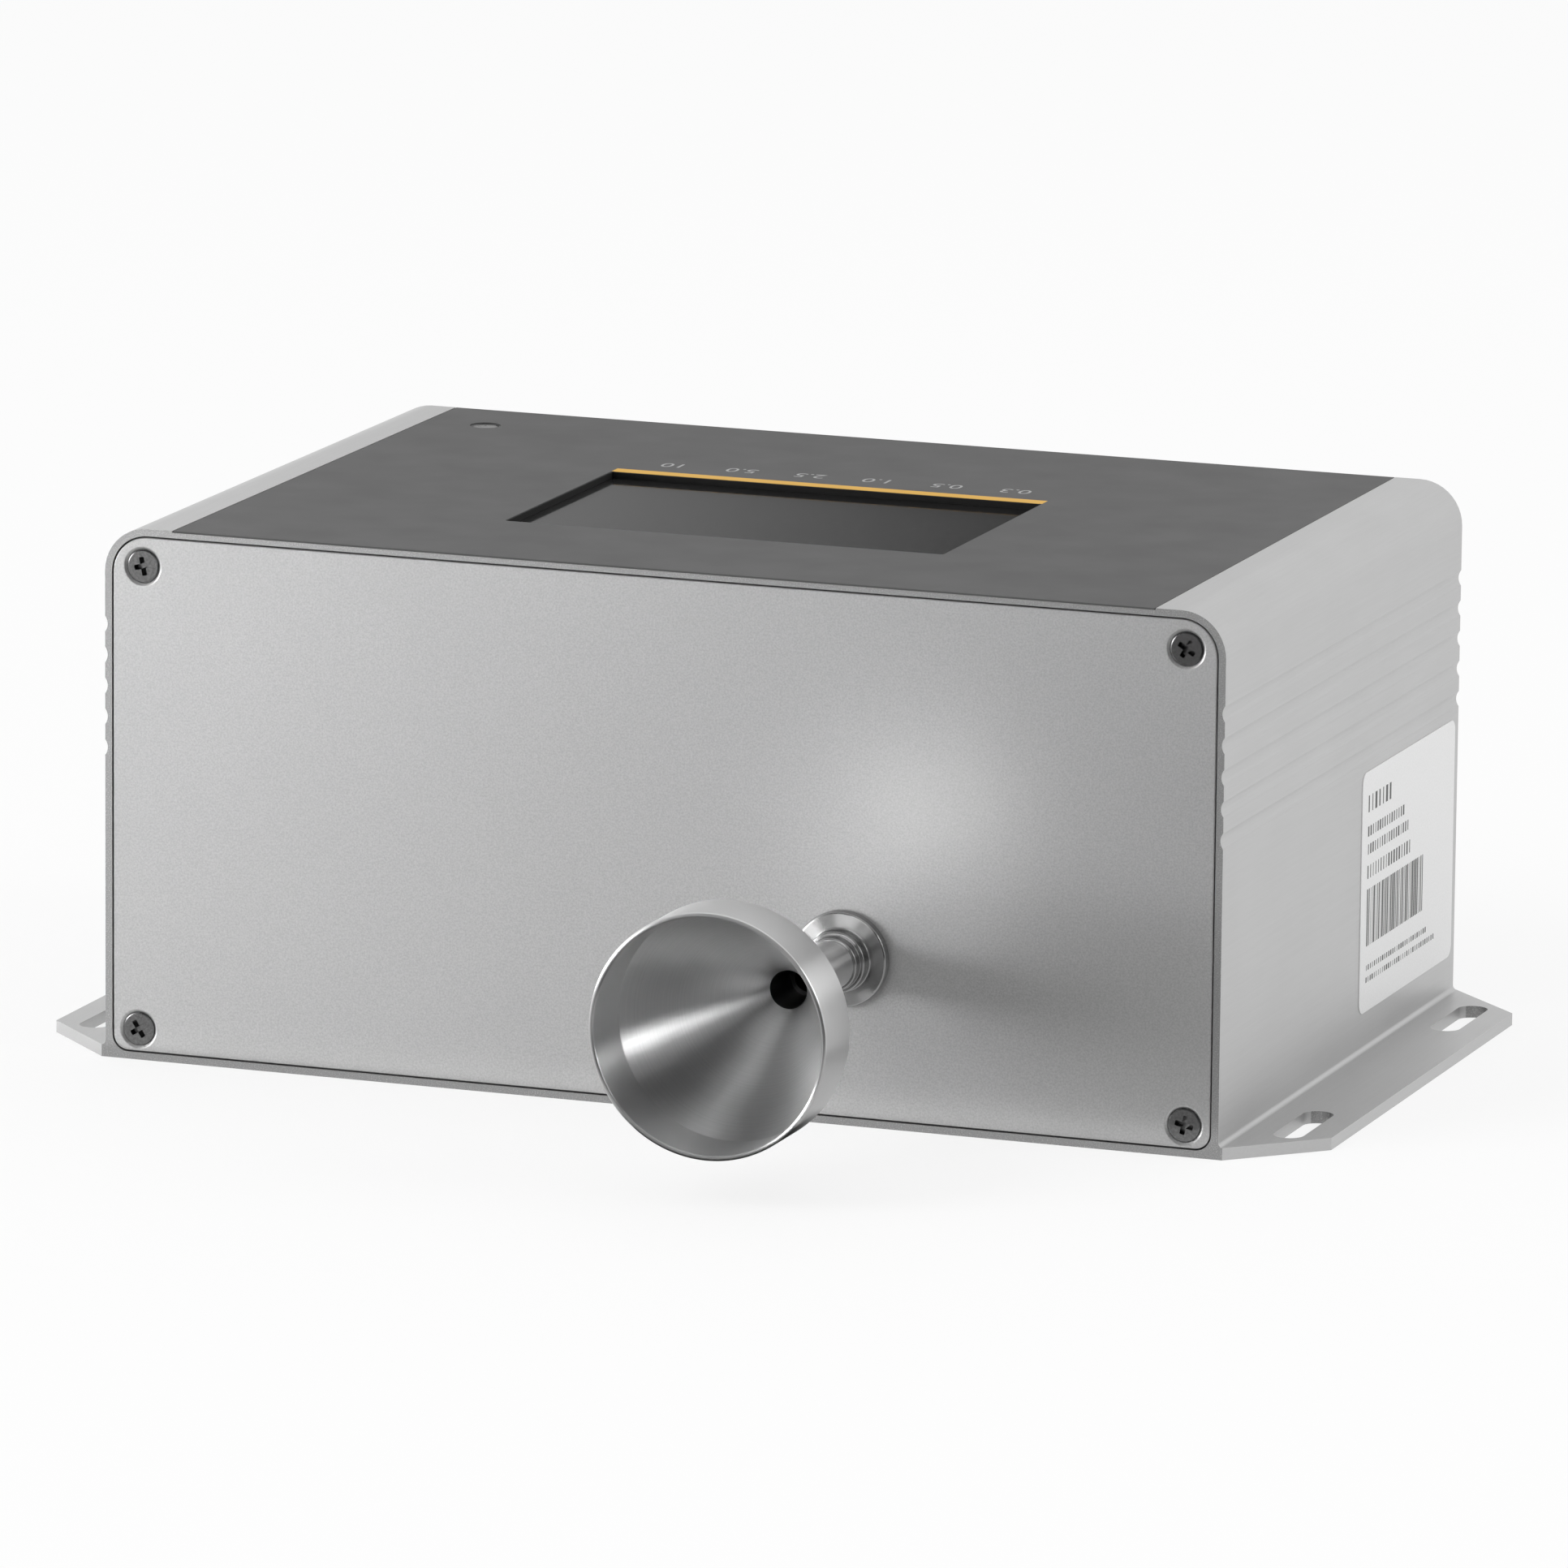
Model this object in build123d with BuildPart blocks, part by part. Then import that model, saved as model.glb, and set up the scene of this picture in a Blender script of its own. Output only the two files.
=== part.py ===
from build123d import *
import os

# Airborne particle counter: an aluminium extrusion closed by two end panels, with a display under the
# top film, a funnel probe on the front and, inside, the optical sensor, the blower and the filter that
# the sampled air passes on its way to the rear outlet.
#
# Millimetres. The origin is the centre of the mounting face, +Z is up and the inlet points to -Y.

os.makedirs("parts", exist_ok=True)

# ---------------------------------------------------------------------------------------------------
# Driving dimensions
# ---------------------------------------------------------------------------------------------------

# Housing extrusion
body_w = 191.0
body_h = 88.0
body_d = 124.0
side_wall = 2.5
top_wall = 3.15
floor_wall = 2.5
top_corner_r = 7.4
cavity_corner_r = 1.0

# Mounting flanges, level with the bottom, and their slots
flange_reach = 14.5
flange_t = 2.0
flange_nose = 0.7
flange_chamfer_l = 13.4
flange_fillet = 0.8
slot_w = 5.0
slot_l = 20.0
slot_offset = 7.5
slot_spacing = 83.0

# Decorative grooves along both sides
groove_count = 5
groove_pitch = 5.1
groove_chord = 2.6
groove_depth = 0.45
groove_drop = 16.1

# End panels, let into the ends of the extrusion
rim = 1.2
panel_t = 3.0
panel_gap = 0.25
seat_corner_r = 2.75
screw_inset = 6.6
screw_drop = 6.2
low_screw_inset = 5.8
screw_rise = 5.1
boss_r = 3.8

# Clearances
fit_clear = 0.05
slip_clear = 0.1
hole_clear = 0.3
run_clear = 0.6

# Countersunk panel screws (M3) and pan-head inner screws (M3)
thread_r = 1.5
sink_r = 3.2
head_r = 2.75
head_land = 0.25
panel_screw_l = 10.0
cross_span = 3.1
cross_w = 0.85
cross_depth = 1.3
cross_taper = 8.0
cross_turns = (12, 58, 33, 77)
pan_head_r = 2.75
pan_head_h = 1.8
pan_head_round = 0.9
pan_cross_depth = 0.9
pan_grip = 1.9

# Top film
film_inset = 11.9
film_t = 0.3
film_gap = 0.15

# Display window and what lies behind it
window_w = 75.5
window_l = 48.4
window_back = 53.9
window_corner_r = 0.6
glass_drop = 1.15
glass_lap = 2.8
gasket_t = 0.5
gasket_band = 4.0
display_w = 84.0
display_l = 56.0
display_t = 4.0
display_board_margin = 9.0
board_t = 1.6
board_edge = 4.0
standoff_r = 2.9
standoff_grip = 2.0

# Status light
led_inset = 10.8
led_back = 14.0
led_r = 2.5
led_drop = 0.3
led_l = 7.6
led_round = 0.6
led_flange_h = 1.0
led_flange_lip = 0.4
led_holder_wall = 1.5

# Side label
label_l = 50.0
label_h = 40.2
label_t = 0.12
label_back = 2.0
label_rise = 8.3
label_corner_r = 2.0

# Inlet fitting
inlet_inset = 63.3
inlet_z = 27.4
disc_r = 7.8
disc_t = 1.8
step_one_r = 5.05
step_one_l = 2.45
step_two_r = 4.4
step_two_l = 1.9
nipple_r = 3.05
nipple_l = 10.0
air_bore_r = 2.3
shank_r = 4.0
nut_across = 13.0
nut_t = 4.0
washer_t = 1.0
washer_r = 7.5
spigot_r = 3.2
spigot_l = 5.0
edge_break = 0.25

# Funnel probe
probe_reach = 62.0
mouth_r = 19.7
funnel_wall = 0.85
mouth_l = 10.8
throat_depth = 36.7
throat_r = 3.1
neck_wall = 0.8
lip_round = 0.35

# Hoses
hose_wall = 1.75
clamp_w = 3.5
clamp_t = 0.7

# Optical sensor
sensor_w = 40.0
sensor_l = 40.0
sensor_rise = 20.0
sensor_back = 21.0
foot_l = 8.0
foot_t = 4.0
chamber_r = 5.0
laser_r = 6.0
laser_out = 16.0
laser_in = 8.0
laser_window_r = 2.0
trap_in = 8.0
trap_out = 0.9
trap_mouth_r = 4.2
trap_taper = 20.0
eye_r = 9.0
mirror_t = 4.0
mirror_sag = 1.6
mirror_drop = 11.4
lens_t = 5.0
lens_rise = 10.5
photodiode_r = 4.0
photodiode_h = 3.2
detector_board_w = 30.0
plug_l = 12.0

# Blower and its motor
blower_inset = 23.0
blower_r = 18.0
blower_w = 16.0
blower_wall = 1.7
cover_t = 2.0
outlet_duct_r = 4.5
outlet_rise = 22.2
wheel_w = 9.0
wheel_plate_t = 1.5
wheel_hub_r = 3.6
blade_count = 9
blade_l = 7.0
blade_t = 1.1
blade_lean = 32.0
shaft_r = 1.5
motor_r = 13.5
motor_l = 24.0
motor_wall = 1.2
cap_t = 2.0
bearing_r = 4.0
bearing_t = 3.0
stator_wall = 3.4
stator_l = 13.0
bearing_lip = 1.0
stator_slots = 9
stator_slot_w = 2.2
rotor_l = 12.0
bracket_w = 22.0
bracket_l = 18.0
bracket_foot = 7.5
bracket_foot_t = 3.0
bracket_sink = 3.5

# Exhaust filter and outlet
filter_r = 13.0
filter_l = 26.0
filter_drop = 17.4
filter_wall = 1.6
element_r = 9.5
element_core_r = 4.0
pleat_count = 28
pleat_depth = 1.6
pleat_gap = 0.7
filter_spigot_l = 5.0
exhaust_bend_r = 10.0
hose_lead = 2.0
outlet_hose_l = 9.0
exhaust_spigot_l = 3.5
outlet_disc_r = 7.0
outlet_disc_t = 2.0
barb_r = 3.9
barb_l = 3.2
barb_count = 3

# Main board
board_side_gap = 9.5
board_sensor_gap = 10.2
board_front_gap = 12.0
board_rear_gap = 6.0
main_board_rise = 6.0
spacer_r = 3.0
chip_inset = 22.0
chip_w = 16.0
chip_t = 1.6
module_inset = 22.0
module_back = 30.0
module_w = 22.0
module_l = 30.0
module_h = 12.0
capacitor_inset = 22.0
capacitor_front = 30.0
capacitor_count = 3
capacitor_r = 4.0
capacitor_h = 12.0
capacitor_pitch = 11.0
ribbon_w = 20.0
ribbon_t = 0.9
ribbon_inset = 10.5
plug_t = 5.0
plug_h = 6.0

# Rear sockets
data_inset = 52.0
data_w = 16.0
data_h = 13.4
data_l = 21.0
data_mouth_w = 12.0
data_mouth_h = 8.6
data_mouth_l = 13.0
power_inset = 24.0
power_w = 9.0
power_h = 11.0
power_l = 14.0
power_mouth_r = 3.1
power_mouth_l = 10.0
power_pin_r = 1.0

# ---------------------------------------------------------------------------------------------------
# Places worked out from the dimensions
# ---------------------------------------------------------------------------------------------------

front_y = -body_d / 2
rear_y = body_d / 2
inner_front_y = front_y + panel_t
inner_rear_y = rear_y - panel_t
side_x = body_w / 2
ceiling_z = body_h - top_wall
flange_w = body_w + 2 * flange_reach
film_w = body_w - 2 * film_inset
window_y = front_y + window_back
led_x = led_inset - film_w / 2
led_y = rear_y - led_back
inlet_x = side_x - inlet_inset
blower_x = side_x - blower_inset
slot_x = side_x + slot_offset
screw_x = side_x - screw_inset
low_screw_x = side_x - low_screw_inset
panel_screw_points = [
    (-screw_x, body_h - screw_drop),
    (screw_x, body_h - screw_drop),
    (-low_screw_x, screw_rise),
    (low_screw_x, screw_rise),
]
head_sink = sink_r - head_r - head_land - fit_clear
groove_r = (groove_chord ** 2 / 4 + groove_depth ** 2) / (2 * groove_depth)
hair = 0.01

front_face = Plane(origin=(0, front_y, 0), x_dir=(1, 0, 0), z_dir=(0, -1, 0))
rear_face = Plane(origin=(0, rear_y, 0), x_dir=(-1, 0, 0), z_dir=(0, 1, 0))


def across(x, y, z):
    """Plane square to the Y axis: its x is +X, its y is +Z and its normal points to the front."""
    return Plane(origin=(x, y, z), x_dir=(1, 0, 0), z_dir=(0, -1, 0))


def turning(x, z):
    """Plane of a turned profile about a line along Y: its x is the place along Y, its y the radius."""
    return Plane(origin=(x, 0, z), x_dir=(0, 1, 0), z_dir=(1, 0, 0))


def panel_outline(inset):
    """Outline of the housing's end, set in from the outer skin."""
    with BuildSketch() as outline:
        with Locations((0, inset)):
            Rectangle(body_w - 2 * inset, body_h - 2 * inset, align=(Align.CENTER, Align.MIN))
        fillet(outline.vertices().group_by(Axis.Y)[-1], top_corner_r - inset)
        fillet(outline.vertices().group_by(Axis.Y)[0], seat_corner_r - (inset - rim))
    return outline.sketch


def countersunk_screw(turn):
    """Panel screw along -Z with the top of its head at the origin."""
    with BuildPart() as screw:
        with BuildSketch(Plane.XZ):
            with BuildLine():
                Polyline(
                    (0, 0),
                    (head_r, 0),
                    (head_r, -head_land),
                    (thread_r, -head_land - (head_r - thread_r)),
                    (thread_r, -panel_screw_l),
                    (0, -panel_screw_l),
                    close=True,
                )
            make_face()
        revolve(axis=Axis.Z)
        with BuildSketch(Plane.XY):
            Rectangle(cross_span, cross_w, rotation=turn)
            Rectangle(cross_w, cross_span, rotation=turn)
        extrude(amount=-cross_depth, taper=cross_taper, mode=Mode.SUBTRACT)
    return screw.part


def pan_screw(length):
    """Inner screw along -Z with the underside of its head at the origin."""
    with BuildPart() as screw:
        with BuildSketch(Plane.XY):
            Circle(pan_head_r)
        extrude(amount=pan_head_h)
        fillet(screw.edges().group_by(Axis.Z)[-1], pan_head_round)
        with BuildSketch(Plane.XY.offset(pan_head_h)):
            Rectangle(cross_span, cross_w)
            Rectangle(cross_w, cross_span)
        extrude(amount=-pan_cross_depth, mode=Mode.SUBTRACT)
        with BuildSketch(Plane.XY):
            Circle(thread_r)
        extrude(amount=-length)
    return screw.part


# Display stack under the top wall
glass_top = body_h - glass_drop
glass_w = window_w + 2 * glass_lap
glass_l = window_l + 2 * glass_lap
display_top = ceiling_z - gasket_t
board_top = display_top - display_t
display_board_w = display_w + 2 * display_board_margin
standoff_spread = display_board_w - 2 * board_edge
standoff_length = display_l - 2 * board_edge
ribbon_x = ribbon_inset - display_board_w / 2
window_centre = Plane.XY.offset(ceiling_z).shift_origin((0, window_y, ceiling_z))

# Inlet line: fitting, panel and nut
inlet_plane = turning(inlet_x, inlet_z)
inlet_axis = Axis((inlet_x, 0, inlet_z), (0, 1, 0))
disc_y = front_y - disc_t
step_one_y = disc_y - step_one_l
step_two_y = step_one_y - step_two_l
nut_rear_y = inner_front_y + washer_t + nut_t

# Funnel
mouth_y = front_y - probe_reach
throat_y = mouth_y + throat_depth
mouth_bore_r = mouth_r - funnel_wall
neck_r = throat_r + neck_wall
cone_slope = (mouth_bore_r - throat_r) / (throat_depth - mouth_l)
neck_y = mouth_y + mouth_l + (mouth_r - neck_r) / cone_slope

# Sensor
sensor_front_y = inner_front_y + sensor_back
sensor_rear_y = sensor_front_y + sensor_l
sensor_y = (sensor_front_y + sensor_rear_y) / 2
sensor_top = inlet_z + sensor_rise
sensor_left_x = inlet_x - sensor_w / 2
sensor_right_x = inlet_x + sensor_w / 2
mirror_sphere_r = (eye_r**2 + mirror_sag**2) / (2 * mirror_sag)
hose_bore_r = spigot_r + fit_clear
hose_r = hose_bore_r + hose_wall

# Blower and motor
blower_axis = Axis((blower_x, 0, inlet_z), (0, 1, 0))
blower_plane = turning(blower_x, inlet_z)
blower_rear_y = sensor_rear_y
cover_y = blower_rear_y - cover_t
blower_front_y = cover_y - blower_w
outlet_x = blower_x - (blower_r - outlet_duct_r)
outlet_y = (blower_front_y + cover_y) / 2
outlet_top = inlet_z + outlet_rise
wheel_r = blower_r - blower_wall - run_clear
motor_front_y = blower_front_y - motor_l
wheel_front_y = blower_front_y + blower_wall + run_clear
wheel_rear_y = wheel_front_y + wheel_w
bearing_seat_r = bearing_r + fit_clear
bearing_boss_r = bearing_seat_r + motor_wall
motor_bore_r = motor_r - motor_wall
motor_middle_y = (motor_front_y + blower_front_y) / 2
stator_bore_r = motor_bore_r - stator_wall

# Exhaust line
exhaust_z = ceiling_z - filter_drop
exhaust_plane = turning(outlet_x, exhaust_z)
exhaust_axis = Axis((outlet_x, 0, exhaust_z), (0, 1, 0))
exhaust_nut_y = inner_rear_y - nut_t
filter_rear_y = exhaust_nut_y - outlet_hose_l
filter_front_y = filter_rear_y - filter_l

# Main board
main_board_z = floor_wall + main_board_rise
main_board_top = main_board_z + board_t
main_board_left = board_side_gap - side_x
main_board_right = sensor_left_x - board_sensor_gap
main_board_front = inner_front_y + board_front_gap
main_board_rear = inner_rear_y - board_rear_gap
main_board_w = main_board_right - main_board_left
main_board_l = main_board_rear - main_board_front
main_board_x = (main_board_left + main_board_right) / 2
main_board_y = (main_board_front + main_board_rear) / 2
data_x = main_board_left + data_inset
power_x = main_board_left + power_inset
main_board_centre = Plane.XY.offset(main_board_z).shift_origin((main_board_x, main_board_y, main_board_z))
board_hole_w = main_board_w - 2 * board_edge
board_hole_l = main_board_l - 2 * board_edge
data_z = main_board_top + data_h / 2
power_z = main_board_top + power_h / 2


# ---------------------------------------------------------------------------------------------------
# Housing
# ---------------------------------------------------------------------------------------------------

with BuildPart() as housing_extrusion:
    with BuildSketch(Plane.XZ) as section:
        Rectangle(body_w, body_h, align=(Align.CENTER, Align.MIN))
        fillet(section.vertices().group_by(Axis.Y)[-1], top_corner_r)
        Rectangle(flange_w, flange_t, align=(Align.CENTER, Align.MIN))
        roots = section.vertices().filter_by_position(Axis.Y, flange_t - hair, flange_t + hair)
        fillet(roots.sort_by(Axis.X)[1:-1], flange_fillet)
        with BuildSketch(mode=Mode.SUBTRACT) as cavity:
            with Locations((0, floor_wall)):
                Rectangle(
                    body_w - 2 * side_wall,
                    ceiling_z - floor_wall,
                    align=(Align.CENTER, Align.MIN),
                )
            fillet(cavity.vertices().group_by(Axis.Y)[-1], top_corner_r - side_wall)
            fillet(cavity.vertices().group_by(Axis.Y)[0], cavity_corner_r)
            # The screw channels stay solid, joined to the two walls nearest each
            for x, z in panel_screw_points:
                web_w = side_x - abs(x)
                reach_x = Align.MIN if x > 0 else Align.MAX
                web_end = body_h if z > body_h / 2 else 0
                with Locations((x, z)):
                    Circle(boss_r, mode=Mode.SUBTRACT)
                    Rectangle(web_w, 2 * boss_r, align=(reach_x, Align.CENTER), mode=Mode.SUBTRACT)
                with Locations((x, (z + web_end) / 2)):
                    Rectangle(2 * boss_r, abs(web_end - z), mode=Mode.SUBTRACT)
        with Locations(*panel_screw_points):
            Circle(thread_r + fit_clear, mode=Mode.SUBTRACT)
        for side in (-1, 1):
            for step in range(groove_count):
                groove_z = body_h - groove_drop - step * groove_pitch
                with Locations((side * (side_x + groove_r - groove_depth), groove_z)):
                    Circle(groove_r, mode=Mode.SUBTRACT)
    extrude(amount=body_d / 2, both=True)

    # Seats for the two end panels
    for y in (front_y, rear_y - panel_t):
        with BuildSketch(Plane.XZ.offset(-y)):
            add(panel_outline(rim))
        extrude(amount=-panel_t, mode=Mode.SUBTRACT)

    # Slanted ends of the flanges
    with BuildSketch(Plane.XY):
        for side in (-1, 1):
            for end in (-1, 1):
                with BuildLine():
                    Polyline(
                        (side * (side_x + flange_nose), end * rear_y),
                        (side * (flange_w / 2), end * (rear_y - flange_chamfer_l)),
                        (side * (flange_w / 2), end * rear_y),
                        close=True,
                    )
                make_face()
    extrude(amount=flange_t, mode=Mode.SUBTRACT)

    # Mounting slots
    with BuildSketch(Plane.XY):
        with GridLocations(2 * slot_x, slot_spacing, 2, 2):
            SlotOverall(slot_l, slot_w, rotation=90)
    extrude(amount=flange_t, mode=Mode.SUBTRACT)

    # Tapped blind holes in the floor for the sensor and the blower
    with BuildSketch(Plane.XY.offset(floor_wall)):
        with Locations((inlet_x, sensor_y)):
            with GridLocations(sensor_w - foot_l, sensor_l + foot_l, 2, 2):
                Circle(thread_r + fit_clear)
        with Locations((blower_x, motor_middle_y)):
            with GridLocations(0, bracket_l + bracket_foot, 1, 2):
                Circle(thread_r + fit_clear)
    extrude(amount=-(pan_grip + slip_clear), mode=Mode.SUBTRACT)

    # Bed of the top film, display window with the rebate for its glass, and the light's hole
    with BuildSketch(Plane.XY.offset(body_h - film_t)):
        Rectangle(film_w + 2 * film_gap, body_d)
    extrude(amount=film_t, mode=Mode.SUBTRACT)
    with BuildSketch(Plane.XY.offset(ceiling_z)):
        with Locations((0, window_y)):
            RectangleRounded(window_w, window_l, window_corner_r)
        with Locations((led_x, led_y)):
            Circle(led_r + slip_clear)
    extrude(amount=top_wall, mode=Mode.SUBTRACT)
    with BuildSketch(Plane.XY.offset(ceiling_z)):
        with Locations((0, window_y)):
            Rectangle(glass_w + 2 * slip_clear, glass_l + 2 * slip_clear)
    extrude(amount=top_wall - glass_drop, mode=Mode.SUBTRACT)

with BuildPart() as front_panel:
    with BuildSketch(front_face):
        add(panel_outline(rim + panel_gap))
        with Locations((inlet_x, inlet_z)):
            Circle(shank_r + slip_clear, mode=Mode.SUBTRACT)
    extrude(amount=-panel_t)
    with Locations(front_face):
        with Locations(*panel_screw_points):
            CounterSinkHole(thread_r + 2 * slip_clear, sink_r, counter_sink_angle=90)

with BuildPart() as front_panel_screws:
    with Locations(front_face.offset(-head_sink)):
        for point, turn in zip(panel_screw_points, cross_turns):
            with Locations(point):
                add(countersunk_screw(turn))

with BuildPart() as rear_panel_screws:
    with Locations(rear_face.offset(-head_sink)):
        for point, turn in zip(panel_screw_points, reversed(cross_turns)):
            with Locations(point):
                add(countersunk_screw(turn))

with BuildPart() as top_film:
    with BuildSketch(Plane.XY.offset(body_h - film_t)):
        Rectangle(film_w, body_d)
        with Locations((0, window_y)):
            RectangleRounded(window_w, window_l, window_corner_r, mode=Mode.SUBTRACT)
        with Locations((led_x, led_y)):
            Circle(led_r + slip_clear, mode=Mode.SUBTRACT)
    extrude(amount=film_t)

label_plane = Plane(
    origin=(side_x, rear_y - label_back - label_l / 2, label_rise + label_h / 2),
    x_dir=(0, 1, 0),
    z_dir=(1, 0, 0),
)
with BuildPart() as side_label:
    with BuildSketch(label_plane):
        RectangleRounded(label_l, label_h, label_corner_r)
    extrude(amount=label_t)

# ---------------------------------------------------------------------------------------------------
# Display and status light
# ---------------------------------------------------------------------------------------------------

with BuildPart() as display_glass:
    with BuildSketch(window_centre):
        Rectangle(glass_w, glass_l)
    extrude(amount=glass_top - ceiling_z)

with BuildPart() as display_gasket:
    with BuildSketch(window_centre):
        Rectangle(display_w, display_l)
        Rectangle(display_w - 2 * gasket_band, display_l - 2 * gasket_band, mode=Mode.SUBTRACT)
    extrude(amount=-gasket_t)

with BuildPart() as display_module:
    with BuildSketch(window_centre.offset(-gasket_t)):
        Rectangle(display_w, display_l)
    extrude(amount=-display_t)

with BuildPart() as display_board:
    with BuildSketch(window_centre.offset(board_top - ceiling_z)):
        Rectangle(display_board_w, display_l)
        with GridLocations(standoff_spread, standoff_length, 2, 2):
            Circle(thread_r + slip_clear, mode=Mode.SUBTRACT)
    extrude(amount=-board_t)

with BuildPart() as display_standoffs:
    with BuildSketch(window_centre):
        with GridLocations(standoff_spread, standoff_length, 2, 2):
            Circle(standoff_r)
            Circle(thread_r + fit_clear, mode=Mode.SUBTRACT)
    extrude(amount=board_top - ceiling_z)

display_screw_plane = Plane(
    origin=(0, window_y, board_top - board_t), x_dir=(1, 0, 0), z_dir=(0, 0, -1)
)
with BuildPart() as display_screws:
    with Locations(display_screw_plane):
        with GridLocations(standoff_spread, standoff_length, 2, 2):
            add(pan_screw(board_t + standoff_grip))

with BuildPart() as status_light:
    with BuildSketch(Plane.XY.offset(body_h - led_drop)):
        with Locations((led_x, led_y)):
            Circle(led_r)
    extrude(amount=-led_l)
    fillet(status_light.edges().group_by(Axis.Z)[-1], led_round)
    with BuildSketch(Plane.XY.offset(body_h - led_drop - led_l)):
        with Locations((led_x, led_y)):
            Circle(led_r + led_flange_lip)
    extrude(amount=led_flange_h)

with BuildPart() as light_holder:
    with BuildSketch(Plane.XY.offset(ceiling_z)):
        with Locations((led_x, led_y)):
            Circle(led_r + led_flange_lip + slip_clear + led_holder_wall)
            Circle(led_r + led_flange_lip + slip_clear, mode=Mode.SUBTRACT)
    extrude(amount=body_h - led_drop - led_l - ceiling_z)

# ---------------------------------------------------------------------------------------------------
# Inlet fitting and funnel probe
# ---------------------------------------------------------------------------------------------------

with BuildPart() as inlet_fitting:
    with BuildSketch(inlet_plane):
        with BuildLine():
            Polyline(
                (step_two_y - nipple_l, air_bore_r),
                (step_two_y - nipple_l, nipple_r),
                (step_two_y, nipple_r),
                (step_two_y, step_two_r - edge_break),
                (step_two_y + edge_break, step_two_r),
                (step_one_y, step_two_r),
                (step_one_y, step_one_r - edge_break),
                (step_one_y + edge_break, step_one_r),
                (disc_y, step_one_r),
                (disc_y, disc_r - edge_break),
                (disc_y + edge_break, disc_r),
                (front_y, disc_r),
                (front_y, shank_r),
                (nut_rear_y, shank_r),
                (nut_rear_y, spigot_r),
                (nut_rear_y + spigot_l, spigot_r),
                (nut_rear_y + spigot_l, air_bore_r),
                close=True,
            )
        make_face()
    revolve(axis=inlet_axis)

with BuildPart() as inlet_washer:
    with BuildSketch(across(inlet_x, inner_front_y, inlet_z)):
        Circle(washer_r)
        Circle(shank_r + slip_clear, mode=Mode.SUBTRACT)
    extrude(amount=-washer_t)

with BuildPart() as inlet_nut:
    with BuildSketch(across(inlet_x, inner_front_y + washer_t, inlet_z)):
        RegularPolygon(nut_across / 2, 6, major_radius=False)
        Circle(shank_r + fit_clear, mode=Mode.SUBTRACT)
    extrude(amount=-nut_t)

with BuildPart() as funnel_probe:
    with BuildSketch(inlet_plane) as funnel_section:
        with BuildLine():
            Polyline(
                (mouth_y, mouth_bore_r),
                (mouth_y + mouth_l, mouth_bore_r),
                (throat_y, throat_r),
                (step_two_y, throat_r),
                (step_two_y, neck_r),
                (neck_y, neck_r),
                (mouth_y + mouth_l, mouth_r),
                (mouth_y, mouth_r),
                close=True,
            )
        make_face()
        fillet(funnel_section.vertices().group_by(Axis.X)[0], lip_round)
    revolve(axis=inlet_axis)

# ---------------------------------------------------------------------------------------------------
# Optical sensor: air along Y, laser beam along X, the detector looks down from above
# ---------------------------------------------------------------------------------------------------

with BuildPart() as sensor_block:
    with BuildSketch(Plane.XY.offset(floor_wall)):
        with Locations((inlet_x, sensor_y)):
            Rectangle(sensor_w, sensor_l)
    extrude(amount=sensor_top - floor_wall)
    with BuildSketch(Plane.XY.offset(floor_wall)):
        with Locations((inlet_x, sensor_y)):
            Rectangle(sensor_w, sensor_l + 2 * foot_l)
    extrude(amount=foot_t)
    with BuildSketch(Plane.XY.offset(floor_wall)):
        with Locations((inlet_x, sensor_y)):
            with GridLocations(sensor_w - foot_l, sensor_l + foot_l, 2, 2):
                Circle(thread_r + slip_clear)
    extrude(amount=foot_t, mode=Mode.SUBTRACT)
    with BuildSketch(across(inlet_x, sensor_front_y, inlet_z)):
        Circle(chamber_r)
    extrude(amount=-sensor_l, mode=Mode.SUBTRACT)
    with BuildSketch(Plane.YZ.offset(sensor_left_x)):
        with Locations((sensor_y, inlet_z)):
            Circle(laser_r + fit_clear)
    extrude(amount=sensor_w, mode=Mode.SUBTRACT)
    with BuildSketch(Plane.XY.offset(inlet_z - mirror_drop - mirror_t)):
        with Locations((inlet_x, sensor_y)):
            Circle(eye_r)
    extrude(amount=sensor_top - inlet_z + mirror_drop + mirror_t, mode=Mode.SUBTRACT)

with BuildPart() as sensor_screws:
    with Locations((inlet_x, sensor_y, floor_wall + foot_t)):
        with GridLocations(sensor_w - foot_l, sensor_l + foot_l, 2, 2):
            add(pan_screw(foot_t + pan_grip))

with BuildPart() as inlet_nozzle:
    with BuildSketch(inlet_plane):
        with BuildLine():
            Polyline(
                (sensor_front_y - spigot_l, air_bore_r),
                (sensor_front_y - spigot_l, spigot_r),
                (sensor_front_y, spigot_r),
                (sensor_front_y, chamber_r - fit_clear),
                (sensor_front_y + plug_l, chamber_r - fit_clear),
                (sensor_front_y + plug_l, air_bore_r / 2),
                (sensor_front_y + plug_l / 2, air_bore_r),
                close=True,
            )
        make_face()
    revolve(axis=inlet_axis)

with BuildPart() as outlet_nozzle:
    with BuildSketch(inlet_plane):
        with BuildLine():
            Polyline(
                (sensor_rear_y + spigot_l, air_bore_r),
                (sensor_rear_y + spigot_l, spigot_r),
                (sensor_rear_y, spigot_r),
                (sensor_rear_y, chamber_r - fit_clear),
                (sensor_rear_y - plug_l, chamber_r - fit_clear),
                (sensor_rear_y - plug_l, air_bore_r),
                close=True,
            )
        make_face()
    revolve(axis=inlet_axis)

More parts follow.
